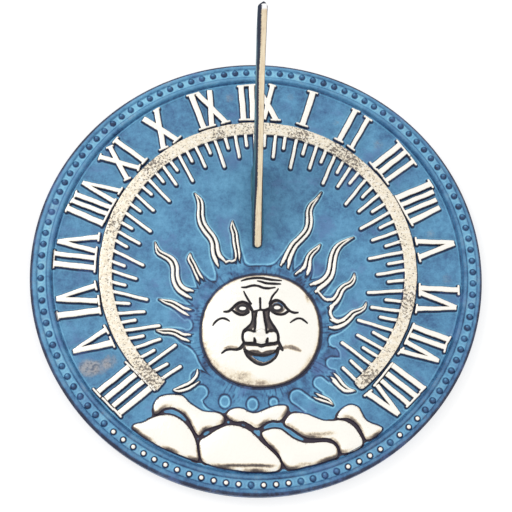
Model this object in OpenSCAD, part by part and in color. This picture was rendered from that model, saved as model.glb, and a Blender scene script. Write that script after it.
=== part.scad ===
// Horizontal sundial, ten inches across, cast in brass: a round dial plate with
// a raised sun, clouds, hour ring and numerals, a separate triangular gnomon,
// and the two screws that hold the gnomon from beneath.
// Origin: middle of the flat underside. +Z is up and +Y runs along the noon
// line, from the foot of the gnomon towards its tip.

/* [Dial plate] */
// Diameter over the rounded rim
plate_d = 254; // [246:1:300]
// Height of the rim above the ground
rim_h = 8; // [7:0.5:12]
// Thickness of the plate under the plain field
field_wall = 3; // [2.5:0.1:3.6]
// Depth of the hollow under the plate
hollow_depth = 2.5; // [2.3:0.1:2.9]
// Width of the solid ring that the plate stands on
foot_ring_w = 7; // [5:0.5:12]
// Rounding of the outer edges of the rim
edge_r = 1; // [0.5:0.1:1.5]

/* [Border] */
// Width of the outer roll
outer_roll_w = 2.5; // [2.5:0.1:2.8]
// Height of the outer roll and the inner roll above the bead channel
roll_rise = 1.2; // [1:0.1:1.2]
// Width of the channel that holds the beads
channel_w = 5; // [4.8:0.1:6]
// Width of the inner roll
inner_roll_w = 2.5; // [2.5:0.1:2.8]
// Width of the groove inside the inner roll
groove_w = 1; // [0.6:0.1:1.5]
// Depth of the groove below the field
groove_depth = 0.6; // [0.3:0.1:1]
// Width of the thin fillet between the groove and the field
fillet_w = 0.9; // [0.6:0.1:1.5]
// Height of the thin fillet above the field
fillet_rise = 0.5; // [0.3:0.1:1]
// Number of beads round the border
bead_count = 115; // [90:1:120]
// Diameter of one bead
bead_d = 3.6; // [3:0.1:3.8]
// Height of a bead above the channel
bead_rise = 1.5; // [1.3:0.1:1.6]
// Gap between a bead and the outer roll
bead_gap = 0.3; // [0.2:0.1:0.4]
// Turn of the first bead from the +X side
bead_start = -10.4; // [-12:0.1:0]

/* [Hour ring] */
// Height of the flat relief above the field
relief_h = 2.3; // [1:0.1:2.6]
// Outer radius of the hour ring
ring_r_out = 89.5; // [88:0.5:90]
// Width of the hour ring
ring_w = 7.2; // [5:0.1:9]
// Direction of the right end of the hour ring
ring_start = -51.5; // [-60:0.5:-45]
// Direction of the left end of the hour ring
ring_end = 232.3; // [225:0.1:240]
// Direction of the first quarter-hour line
line_start = -50.4; // [-52:0.1:-45]
// Angle from one quarter-hour line to the next
line_step = 4.132; // [3.8:0.001:4.14]
// Width of an hour line
line_w = 1.7; // [1:0.1:2.2]
// Radius at the inner end of an hour line
hour_line_r = 63.3; // [60:0.1:70]
// Radius at the inner end of a half-hour line
half_line_r = 67; // [62:0.1:74]
// Radius at the inner end of a quarter-hour line
quarter_line_r = 73.5; // [68:0.1:79]

/* [Numerals] */
// Gap between the hour ring and the feet of the numerals
numeral_gap = 1.2; // [0.8:0.1:3]
// Height of a numeral, measured outwards
numeral_h = 22.4; // [15:0.1:22.8]
// Width of a plain stroke
stroke_w = 2.9; // [2:0.1:3.3]
// Pitch from one plain stroke to the next
stroke_pitch = 5.5; // [5:0.1:6]
// Spread of the two open ends of a V
v_spread = 8.6; // [6:0.1:9]
// Spread of the ends of an X
x_spread = 9.4; // [7:0.1:10]

/* [Sun and clouds] */
// Width of the groove that parts the two strands of a flame
flame_groove_w = 0.7; // [0.4:0.1:1]
// Middle of the sun's face, sideways
sun_x = 2.4; // [0:0.1:4]
// Middle of the sun's face, along the noon line
sun_y = -36.7; // [-38:0.1:-36]
// Diameter of the sun's face
sun_d = 65.6; // [62:0.1:66]
// Height of the rim of the sun's face above the field
sun_edge_h = 1.3; // [0.8:0.1:2]
// Rise of the domed face above its own rim
sun_dome_h = 2.6; // [1.5:0.1:4]
// Depth of the engraved lines of the face
crease_depth = 0.6; // [0.3:0.1:0.9]
// Height of the nose above the domed face
nose_rise = 2.2; // [1:0.1:3]
// Height of the upper lip above the domed face
lip_rise = 0.5; // [0.3:0.1:0.8]
// Outer radius of the low corona round the face
corona_r = 38.6; // [36:0.1:39]
// Height of the corona above the field
corona_h = 0.5; // [0.3:0.1:0.8]
// Rise of the pillowed clouds above their edges
cloud_dome_h = 1.1; // [0.4:0.1:1.8]
// Height of a cloud's edge above the field
cloud_edge_h = 1.4; // [0.8:0.1:2]

/* [Gnomon] */
// Angle of the style above the plate, equal to the latitude
style_angle = 42; // [38:0.5:45]
// Length of the style along its slope
style_len = 138.5; // [110:0.5:139]
// Sideways place of the casting
gnomon_x = 0.8; // [-1:0.1:1.5]
// Place of the toe of the style along the noon line
gnomon_y = 11.8; // [10:0.1:16]
// Height of the style above the field at its toe
toe_h = 2.5; // [1.5:0.1:4]
// Thickness of the blade
blade_t = 4.2; // [3.8:0.1:5]
// Width of the flat shadow-casting edge
style_w = 2.6; // [1.8:0.1:3.2]
// Depth of the bevels beside the flat edge
bevel_depth = 1.4; // [0.8:0.1:2.5]
// Height of the blunt end of the style
nose_h = 6.5; // [4:0.1:10]
// Rounding of the blunt end
nose_r = 2; // [1:0.1:3]
// Length of the foot along the noon line
foot_len = 50.4; // [46:0.1:60]
// Width of the foot where it meets the field
foot_w = 7; // [6:0.1:9]
// Width at the top of the sloping foot
foot_top_w = 5.2; // [4.8:0.1:6]
// Height of the sloping foot
foot_h = 6; // [5.8:0.1:9]
// Width of the side flange beyond the foot
flange_out = 1.2; // [0.6:0.1:3]
// Length of the side flange
flange_len = 25; // [18:0.5:30]
// Thickness of the side flange
flange_t = 2; // [1:0.1:3]

/* [Screws] */
// Diameter of the screw shank
screw_d = 3; // [2.5:0.1:3.2]
// Length of the screw under its head
screw_len = 8; // [6.5:0.1:8.2]
// Diameter of the pan head
head_d = 5.6; // [5:0.1:7]
// Height of the pan head
head_h = 2; // [1.5:0.1:2.2]
// Width of the slot in the head
slot_w = 0.8; // [0.5:0.1:1.2]
// Depth of the slot in the head
slot_depth = 0.9; // [0.5:0.1:1.1]
// Distance of the first screw from the toe of the foot
screw_first = 13; // [11:0.5:16]
// Distance between the two screws
screw_pitch = 26; // [20:0.5:28]
// Clearance across the hole in the plate
plate_hole_gap = 0.4; // [0.2:0.1:0.8]
// Clearance across the threaded hole in the foot
thread_gap = 0.1; // [0.05:0.05:0.2]
// Space left beyond the end of the screw
hole_end_gap = 0.5; // [0.3:0.1:0.8]

/* [Hidden] */

plate_r = plate_d / 2;
field_z = hollow_depth + field_wall;
outer_roll_r = plate_r - edge_r - outer_roll_w / 2;
channel_r_out = outer_roll_r - outer_roll_w / 2;
channel_r_in = channel_r_out - channel_w;
bead_ring_r = channel_r_out - bead_gap - bead_d / 2;
inner_roll_r = channel_r_in - inner_roll_w / 2;
groove_r_out = inner_roll_r - inner_roll_w / 2 - 0.2;
groove_r_in = groove_r_out - groove_w;
field_r = groove_r_in - fillet_w;
hollow_r = plate_r - foot_ring_w;
channel_z = rim_h - roll_rise;
ring_r_in = ring_r_out - ring_w;
sun_r = sun_d / 2;
dome_r = (sun_r * sun_r + sun_dome_h * sun_dome_h) / (2 * sun_dome_h);
sink = 0.5;
blade_rise = style_len * sin(style_angle);
blade_run = style_len * cos(style_angle);

// Hour lines: direction at the ring, then how far the line leans from the radius.
// The lines lean towards a point low on the dial, so they close up at the sides.
line_lean = [
    [-50.4, 5], [-41.9, 3.5], [-26.1, 8.5], [-9.4, 12], [6.5, 6], [23.6, 7], [40.2, 11],
    [56.3, 10.5], [73.3, 4.5], [90.6, 1], [107.2, 1.5], [123.3, -5], [139.5, -7],
    [156.4, -14], [172.9, -20], [189.8, -23], [206.6, -18], [223.2, -8], [230.6, -17]
];

// Numerals: direction, lean and strokes, read from outside the dial.
numerals = [
    [224, -3.8, "IIII"], [205.9, -2.5, "V"], [191.2, -3.2, "VI"], [175, -0.4, "VII"],
    [156.9, 0.5, "VIII"], [139.6, 2.1, "IX"], [123.5, -0.4, "X"], [106.6, 5.7, "XI"],
    [89.6, 5.7, "XII"], [72.8, -0.4, "I"], [56.2, 4.9, "II"], [38.9, -0.2, "III"],
    [22.9, 1.6, "IIII"], [7.3, 3.3, "V"], [-10.2, 1.9, "VI"], [-25.8, 4.1, "VII"],
    [-43.4, 1.6, "VIII"]
];

// Flames: points along the middle from root to tip, each with its width.
flames = [
    [[-20, 2.5, 6.5], [-23.6, 10, 5], [-25.5, 18, 4.8], [-31, 26, 4.6], [-32, 35, 4],
        [-32.8, 40.5, 3.2], [-35.5, 44.8, 0.6]],
    [[-10, 3, 4.2], [-11.4, 12, 3.8], [-12.5, 20, 3.6], [-13.8, 24, 3], [-13.8, 28, 0.6]],
    [[-36.5, -15.8, 6], [-43.3, -12, 5.2], [-46, -4, 4.6], [-47.5, 3.5, 4.4], [-53, 7.5, 3.4],
        [-55.8, 9.5, 3], [-57.5, 15, 0.6]],
    [[-30.5, -8.5, 4.5], [-34.3, -2, 3.4], [-37.7, 5, 3], [-37.7, 8.5, 0.6]],
    [[-37, -26.5, 5], [-41, -25, 4.2], [-47.5, -21, 3.4], [-51, -20, 2.6], [-54.8, -18.5, 0.6]],
    [[-37, -40.8, 5], [-41, -40, 4.2], [-48, -37.2, 3.4], [-52, -37, 3], [-55.5, -36.5, 1.2]],
    [[-30.5, -57, 5], [-35.5, -65, 4.2], [-39.5, -67.7, 3.6], [-43, -69, 3], [-46.3, -69.2, 0.8]],
    [[15.5, 1, 6], [18.8, 9.5, 4.8], [24.5, 17, 4.4], [29.5, 25, 4.2], [30, 34, 3.6],
        [34.5, 41.5, 1.8], [37.5, 46, 0.5]],
    [[26, -3.5, 6], [28.8, 3.5, 4], [31.5, 9.3, 3.2], [34, 11.5, 2.6], [35.8, 14, 0.8]],
    [[31.5, -12, 7], [37.5, -8.3, 5.2], [41.8, -1, 4.8], [43.3, 7.5, 4.4], [47.8, 14.3, 3],
        [51.5, 16.5, 2], [55.3, 18.3, 0.6]],
    [[39.5, -21, 6], [45.3, -16.5, 4], [49, -11, 3.4], [52.3, -9.3, 3], [54.3, -6.5, 2.4],
        [54.8, -3, 0.6]],
    [[40.5, -32.5, 6], [48, -31.5, 4.6], [53.5, -26.5, 3.4], [57, -25, 2.8], [60.8, -20, 0.6]],
    [[33, -58.5, 6], [42.5, -63.5, 4.5], [45.5, -67.3, 4], [49, -69.8, 3], [53, -70.3, 0.8]],
    [[24, -64, 7], [26.5, -68.5, 5.5], [30, -72, 4.5], [38, -75.6, 2.6], [40.8, -77.3, 0.6]]
];

// Clouds: points round each pillow.
clouds = [
    [[-56, -82], [-56, -77], [-52, -73], [-44, -72.5], [-38, -76], [-31, -81], [-22, -82.3],
        [-18.3, -85.5], [-22, -89], [-29, -92], [-32, -94.3], [-36, -88], [-41, -81.5], [-47, -79.5],
        [-53, -82.3]],
    [[-67, -90.5], [-60, -87], [-53, -83.7], [-48, -83.5], [-40.5, -87], [-36, -92.5], [-33, -99],
        [-32.5, -107.5], [-44, -104], [-58, -97.3]],
    [[-31, -97.5], [-24, -92.5], [-16.5, -89.3], [-8, -90.3], [-1.5, -95], [6, -102], [11.5, -108.5],
        [10, -113.3], [-2, -114], [-16, -112.4], [-30, -108.5]],
    [[-17, -83], [-13, -80], [-8, -80.3], [-3, -82.5], [4, -80.5], [11, -78.3], [15.8, -79.5],
        [14, -84], [11, -86.4], [5, -87], [0, -90.6], [-4, -88.8], [-9, -86.8], [-15, -85.8]],
    [[14.8, -88.5], [17.5, -83.3], [23, -82.4], [31, -85], [40, -86.8], [47, -86.8], [52, -90.5],
        [56, -97], [53, -102], [46, -104.4], [43, -99.5], [38, -96], [26, -95.7], [19, -91]],
    [[2, -94], [6, -91.2], [12, -91.5], [19, -96.3], [26, -98.6], [38, -98.6], [42.7, -103],
        [40.5, -107], [28, -110.5], [16, -112.6], [11, -104.5]],
    [[43, -85], [46, -79.8], [51, -78], [55.5, -80.8], [58.5, -86.5], [66.8, -90.7], [63, -95],
        [58.5, -96.8], [55, -90.5], [50, -85.8]]
];

// Creases of the face: points along each line, each with its width.
creases = [
    [[-9.5, -7.8, 0.6], [-4, -6.6, 1], [0, -6.3, 1], [5, -7, 1], [13.5, -7.8, 0.5]],
    [[-1, -8.3, 0.5], [3, -9.3, 0.8], [11, -10.3, 0.5]],
    [[-8.8, -11.7, 0.6], [-2, -10.8, 1], [4.5, -12.6, 1], [9.5, -11.8, 0.5]],
    [[-7.5, -14.5, 0.6], [-5.5, -18, 0.9], [-3, -21, 0.9]],
    [[11.5, -12.5, 0.6], [9.5, -16, 0.8], [6.5, -21, 0.9]],
    [[-18.5, -26, 0.5], [-14, -24.5, 1], [-8, -20.5, 1.2], [-3, -24, 1]],
    [[22.5, -26.3, 0.5], [17, -24.5, 1], [11, -19.3, 1.2], [6.5, -22, 1]],
    [[-13.5, -25.8, 0.6], [-8.5, -28, 0.9], [-4, -26.5, 0.7]],
    [[17.5, -25.5, 0.6], [12.5, -27.6, 0.9], [8, -26, 0.7]],
    [[-24.5, -33, 0.6], [-19.5, -29.6, 1], [-15.5, -31.4, 0.6]],
    [[17.8, -32, 0.6], [22.5, -30, 1], [27, -32.3, 0.6]],
    [[-9.5, -46, 1], [-4, -44.2, 2], [2, -44.8, 2.2], [8, -44, 2], [12.5, -45.8, 1]],
    [[-19.5, -49.3, 0.5], [-15, -47.5, 0.9], [-8.6, -47.4, 0.9]],
    [[12, -46.6, 0.9], [14, -47, 0.8], [17, -46.2, 0.5]]
];

// Outline of the open mouth, sunk like the creases.
mouth = [
    [-6.6, -49.4], [-4.2, -52.8], [0, -55.2], [4, -55.6], [8, -54.2], [10.4, -51], [10.9, -48.8],
    [6.5, -50.4], [2, -51.6], [-3, -50.6]
];

// Outline of the upper lip, raised above the dome.
upper_lip = [
    [-7, -47.6], [-3.6, -46.2], [-0.6, -45.9], [2, -46.8], [4.8, -45.8], [8, -46], [10.8, -47.2],
    [8, -48.4], [5, -48.6], [2, -49.3], [-1.5, -48.6], [-4.5, -48.6]
];

function catmull(a, b, c, d, t) =
    0.5 * (2 * b + (c - a) * t + (2 * a - 5 * b + 4 * c - d) * t * t
    + (3 * b - 3 * c + d - a) * t * t * t);

function smooth_open(p, n) = [
    for (i = [0 : len(p) - 2])
        for (k = [0 : n - (i == len(p) - 2 ? 0 : 1)])
            catmull(p[max(i - 1, 0)], p[i], p[i + 1], p[min(i + 2, len(p) - 1)], k / n)
];

function smooth_loop(p, n) = [
    for (i = [0 : len(p) - 1])
        for (k = [0 : n - 1])
            catmull(p[(i + len(p) - 1) % len(p)], p[i], p[(i + 1) % len(p)], p[(i + 2) % len(p)], k / n)
];

function side_of(c, i) =
    let (q = c[min(i + 1, len(c) - 1)] - c[max(i - 1, 0)], d = norm([q[0], q[1]]))
    [-q[1] / d, q[0] / d];

function edge_of(c, share) = [
    for (i = [0 : len(c) - 1]) [c[i][0], c[i][1]] + side_of(c, i) * c[i][2] * share
];

function reversed(p) = [for (i = [len(p) - 1 : -1 : 0]) p[i]];

function middle_of(p, k) = (max([for (q = p) q[k]]) + min([for (q = p) q[k]])) / 2;

function size_of(p, k) = max([for (q = p) q[k]]) - min([for (q = p) q[k]]);

// A tapering ribbon along a smooth line; share is the part of the width it fills.
module ribbon(points, n, share) {
    c = smooth_open(points, n);
    polygon(concat(edge_of(c, share / 2), reversed(edge_of(c, -share / 2))));
}

// The groove of one flame: from its root to the point before the tip, with straight sides.
module groove(points) {
    c = [for (i = [0 : len(points) - 2]) [points[i][0], points[i][1], flame_groove_w]];
    start = c[0] + (c[0] - c[1]) / norm(c[1] - c[0]) * 4;
    ribbon(concat([start], c), 1, 1);
}

// The upright section of the plate from its middle to the rim.
module plate_section() {
    polygon([
        [0, hollow_depth],
        [hollow_r, hollow_depth],
        [hollow_r, 0],
        [plate_r - edge_r, 0],
        [plate_r, edge_r],
        [plate_r, rim_h - edge_r],
        [outer_roll_r, rim_h - edge_r / 2],
        [outer_roll_r, channel_z],
        [groove_r_out, channel_z],
        [groove_r_out, field_z - groove_depth],
        [groove_r_in, field_z - groove_depth],
        [groove_r_in, field_z + fillet_rise],
        [field_r, field_z + fillet_rise],
        [field_r, field_z],
        [0, field_z]
    ]);
}

// A rounded roll of the border: a round bar, sunk into the plate up to its full width.
module roll_section(r, w) {
    bar_r = w * w / 8 / roll_rise + roll_rise / 2;
    translate([r, rim_h - bar_r])
        circle(r = bar_r, $fn = 64);
}

module hour_line(a, r_in) {
    lean = lookup(a, line_lean);
    reach = (ring_r_in - r_in) / cos(lean);
    rotate([0, 0, a])
        translate([ring_r_in + line_w / 2, 0])
            rotate([0, 0, lean])
                translate([-reach - line_w / 2, -line_w / 2])
                    square([reach + line_w / 2, line_w]);
}

module hour_ring() {
    n = 60;
    points = [for (i = [0 : n]) let (a = ring_start + (ring_end - ring_start) * i / n) [cos(a), sin(a)]];
    polygon(concat(points * ring_r_out, reversed(points * ring_r_in)));
    rotate([0, 0, ring_start])
        translate([(ring_r_in + ring_r_out) / 2, 0])
            circle(d = ring_w, $fn = 32);
    for (k = [0 : floor((ring_end - ring_start - 0.5) / line_step)])
        hour_line(line_start + k * line_step, k % 4 == 2 ? hour_line_r : k % 4 == 0 ? half_line_r : quarter_line_r);
}

// A straight stroke between two points.
module stroke(x0, y0, x1, y1) {
    translate([x0, y0])
        rotate([0, 0, atan2(y1 - y0, x1 - x0)])
            translate([0, -stroke_w / 2])
                square([norm([x1 - x0, y1 - y0]), stroke_w]);
}

module letter(c) {
    if (c == "I")
        stroke(0, 0, numeral_h, 0);
    if (c == "V") {
        stroke(0, -v_spread / 2, numeral_h, 0);
        stroke(0, v_spread / 2, numeral_h, 0);
    }
    if (c == "X") {
        stroke(0, -x_spread / 2, numeral_h, x_spread / 2);
        stroke(0, x_spread / 2, numeral_h, -x_spread / 2);
    }
}

function advance(c) = c == "I" ? stroke_pitch : c == "V" ? v_spread + 2.2 : x_spread + 2.2;

function advance_to(s, i) = i <= 0 ? 0 : advance(s[i - 1]) + advance_to(s, i - 1);

module numeral(a, lean, s) {
    span = advance_to(s, len(s));
    rotate([0, 0, a])
        translate([ring_r_out + numeral_gap + numeral_h / 2, 0])
            rotate([0, 0, lean])
                translate([-numeral_h / 2, -span / 2])
                    for (i = [0 : len(s) - 1])
                        translate([0, advance_to(s, i) + advance(s[i]) / 2])
                            letter(s[i]);
}

// Everything flat-topped: the hour ring, its lines, the numerals and the flames.
module flat_relief() {
    intersection() {
        circle(r = field_r - 0.2, $fn = 180);
        union() {
            hour_ring();
            for (n = numerals)
                numeral(n[0], n[1], n[2]);
            difference() {
                for (f = flames)
                    ribbon(f, 2, 1);
                for (f = flames)
                    groove(f);
                translate([sun_x, sun_y])
                    circle(r = sun_r + 1, $fn = 96);
            }
        }
    }
}

// The domed face, with the engraved lines cut to one depth below the dome.
module sun_face() {
    dome_z = field_z + sun_edge_h + sun_dome_h - dome_r;
    crest_z = field_z + sun_edge_h + sun_dome_h;
    difference() {
        intersection() {
            translate([sun_x, sun_y, dome_z])
                sphere(r = dome_r, $fn = 180);
            translate([sun_x, sun_y, field_z - sink])
                cylinder(r = sun_r, h = sun_edge_h + sun_dome_h + 2 * sink, $fn = 96);
        }
        difference() {
            translate([0, 0, field_z])
                linear_extrude(sun_edge_h + sun_dome_h + sink)
                    offset(delta = 0.01) {
                        for (c = creases)
                            ribbon(c, 2, 1);
                        polygon(smooth_loop(mouth, 2));
                    }
            translate([sun_x, sun_y, dome_z])
                sphere(r = dome_r - crease_depth, $fn = 180);
        }
        for (side = [-1, 1])
            translate([sun_x + side * 9.8 - 0.4, sun_y + 12.9, crest_z])
                rotate_extrude($fn = 32)
                    translate([1.9, 0])
                        circle(r = 0.75, $fn = 24);
    }
    for (side = [-1, 1])
        translate([sun_x + side * 6.2 - 0.3, sun_y - 3.3, crest_z - 1.9])
            sphere(r = 3.3, $fn = 48);
    translate([sun_x, sun_y - 3, crest_z + nose_rise - 3.4])
        sphere(r = 3.4, $fn = 48);
    translate([sun_x - 0.4, sun_y + 11.5, crest_z - 1.7])
        rotate([90, 0, 0])
            cylinder(r1 = 1.8, r2 = 2.9, h = 14.5, $fn = 48);
    intersection() {
        translate([0, 0, field_z])
            linear_extrude(sun_edge_h + sun_dome_h + sink)
                polygon(smooth_loop(upper_lip, 2));
        translate([sun_x, sun_y, dome_z])
            sphere(r = dome_r + lip_rise, $fn = 180);
    }
}

// One cloud: its outline rounded over by a large sphere.
module cloud(p) {
    half = norm([size_of(p, 0), size_of(p, 1)]) / 2;
    ball = (half * half + cloud_dome_h * cloud_dome_h) / (2 * cloud_dome_h);
    intersection() {
        translate([0, 0, field_z - sink])
            linear_extrude(cloud_edge_h + cloud_dome_h + 2 * sink)
                intersection() {
                    circle(r = field_r - 0.2, $fn = 180);
                    offset(delta = 0.01)
                        polygon(smooth_loop(p, 3));
                }
        translate([middle_of(p, 0), middle_of(p, 1), field_z + cloud_edge_h + cloud_dome_h - ball])
            sphere(r = ball, $fn = 180);
    }
}

module screw_places() {
    for (i = [0, 1])
        translate([gnomon_x, gnomon_y + screw_first + i * screw_pitch, 0])
            children();
}

module dial_plate() {
    color([0.33, 0.55, 0.72])
        union() {
            difference() {
                rotate_extrude($fn = 180) {
                    plate_section();
                    roll_section(outer_roll_r, outer_roll_w);
                    roll_section(inner_roll_r, inner_roll_w);
                }
                screw_places()
                    translate([0, 0, hollow_depth - sink])
                        cylinder(d = screw_d + plate_hole_gap, h = field_wall + 2 * sink, $fn = 32);
            }
            for (i = [0 : bead_count - 1])
                rotate([0, 0, bead_start + i * 360 / bead_count])
                    translate([bead_ring_r, 0, channel_z + bead_rise - bead_d / 2])
                        sphere(d = bead_d, $fn = 20);
            translate([0, 0, field_z - sink])
                linear_extrude(relief_h + sink)
                    offset(delta = 0.01)
                        flat_relief();
            translate([sun_x, sun_y, field_z - sink])
                cylinder(r = corona_r, h = corona_h + sink, $fn = 96);
            for (p = clouds)
                cloud(p);
            sun_face();
        }
}

// Side view under the style: y runs along the noon line and z rises from the field.
// It starts at the given distance from the toe.
module blade_side(start) {
    top_y = gnomon_y + blade_run;
    top_z = toe_h + blade_rise;
    heel_y = gnomon_y + foot_len;
    polygon(concat(
        [[gnomon_y + start, 0], [heel_y, 0], [heel_y, foot_h]],
        [[top_y, top_z - nose_h]],
        [for (i = [0 : 6]) [top_y - nose_r, top_z - nose_r] + nose_r * [cos(i * 22), sin(i * 22)]],
        [[gnomon_y + start, toe_h + start * tan(style_angle)]]
    ));
}

// Section of the blade across the style, with the flat edge at the top.
module blade_section() {
    deep = style_len;
    polygon([
        [-style_w / 2, 0],
        [style_w / 2, 0],
        [blade_t / 2, -bevel_depth],
        [blade_t / 2, -deep],
        [-blade_t / 2, -deep],
        [-blade_t / 2, -bevel_depth]
    ]);
}

module foot_outline(w) {
    translate([0, gnomon_y + w / 2])
        circle(d = w, $fn = 48);
    translate([0, gnomon_y + foot_len - w / 2])
        circle(d = w, $fn = 48);
    translate([-w / 2, gnomon_y + w / 2])
        square([w, foot_len - w]);
}

module gnomon() {
    color([0.16, 0.33, 0.39])
        translate([gnomon_x, 0, field_z])
            difference() {
                union() {
                    intersection() {
                        rotate([90, 0, 90])
                            translate([0, 0, -foot_w])
                                linear_extrude(2 * foot_w)
                                    blade_side(foot_w / 4);
                        translate([0, gnomon_y, toe_h])
                            rotate([90 + style_angle, 0, 0])
                                translate([0, 0, -2 * style_len])
                                    linear_extrude(3 * style_len)
                                        blade_section();
                    }
                    intersection() {
                        linear_extrude(foot_h)
                            foot_outline(foot_w);
                        rotate([90, 0, 0])
                            translate([0, 0, -gnomon_y - foot_len - 1])
                                linear_extrude(foot_len + 2)
                                    polygon([
                                        [-foot_w / 2, 0],
                                        [foot_w / 2, 0],
                                        [foot_top_w / 2, foot_h],
                                        [-foot_top_w / 2, foot_h]
                                    ]);
                        rotate([90, 0, 90])
                            translate([0, 0, -foot_w])
                                linear_extrude(2 * foot_w)
                                    blade_side(-1);
                    }
                    translate([0, gnomon_y + foot_len - flange_len, 0])
                        linear_extrude(flange_t) {
                            translate([-foot_w / 2 - flange_out, flange_out])
                                square([foot_w / 2 + flange_out, flange_len - 2 * flange_out]);
                            translate([-foot_w / 2, flange_out])
                                circle(r = flange_out, $fn = 32);
                            translate([-foot_w / 2, flange_len - flange_out])
                                circle(r = flange_out, $fn = 32);
                        }
                }
                translate([-gnomon_x, 0, 0])
                    screw_places()
                        translate([0, 0, -sink])
                            cylinder(d = screw_d + thread_gap, h = screw_len - field_wall + hole_end_gap + sink, $fn = 32);
            }
}

module gnomon_screws() {
    color([0.72, 0.62, 0.36])
        screw_places()
            translate([0, 0, hollow_depth]) {
                cylinder(d = screw_d, h = screw_len, $fn = 32);
                difference() {
                    intersection() {
                        translate([0, 0, -head_h])
                            cylinder(d = head_d, h = head_h, $fn = 48);
                        translate([0, 0, head_d * 0.75 - head_h])
                            sphere(d = head_d * 1.5, $fn = 48);
                    }
                    translate([-slot_w / 2, -head_d, -head_h - sink])
                        cube([slot_w, 2 * head_d, slot_depth + sink]);
                }
            }
}

dial_plate();
gnomon();
gnomon_screws();
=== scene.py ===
"""A horizontal sundial, ten inches across: a round brass casting with a sun, clouds, an hour ring
and Roman numerals raised on it, and a triangular gnomon held by two screws from beneath.
Sizes are in millimetres until a mesh is made. +Y is noon and z is 0 on the ground."""
import math

import bpy
import numpy as np
from mathutils import Matrix


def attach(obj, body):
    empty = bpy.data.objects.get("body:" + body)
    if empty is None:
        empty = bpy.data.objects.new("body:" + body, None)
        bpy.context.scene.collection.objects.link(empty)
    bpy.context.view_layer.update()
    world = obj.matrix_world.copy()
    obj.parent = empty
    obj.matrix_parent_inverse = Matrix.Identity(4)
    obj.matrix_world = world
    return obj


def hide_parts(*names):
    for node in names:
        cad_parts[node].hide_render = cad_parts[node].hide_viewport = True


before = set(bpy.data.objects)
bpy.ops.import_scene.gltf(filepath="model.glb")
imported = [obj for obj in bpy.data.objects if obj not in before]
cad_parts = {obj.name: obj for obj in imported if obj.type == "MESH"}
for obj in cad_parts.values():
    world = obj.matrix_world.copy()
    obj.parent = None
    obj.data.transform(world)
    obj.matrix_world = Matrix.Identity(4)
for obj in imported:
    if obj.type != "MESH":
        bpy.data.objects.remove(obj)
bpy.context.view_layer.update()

# ------------------------------------------------------------------ sun's flames
# Fourteen wavy flames stand out of a low corona round the face, each a pair of strands with a fine
# groove between them. They were cut in the pattern, cast in one with the brass plate and rubbed
# bright on top.


def smooth(points, steps, closed=False):
    """A smooth line through the points: each part is the Catmull-Rom cubic of its four neighbours."""
    p = np.array(points, float)
    n = len(p)
    i = np.arange(n if closed else n - 1)
    a, b, c, d = (p[k % n if closed else np.clip(k, 0, n - 1)][:, None, :] for k in (i - 1, i, i + 1, i + 2))
    t = (np.arange(steps) / steps)[None, :, None]
    line = 0.5 * (2 * b + (c - a) * t + (2 * a - 5 * b + 4 * c - d) * t ** 2
                  + (3 * b - 3 * c + d - a) * t ** 3)
    line = line.reshape(-1, p.shape[1])
    return line if closed else np.vstack([line, p[-1:]])


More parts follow.
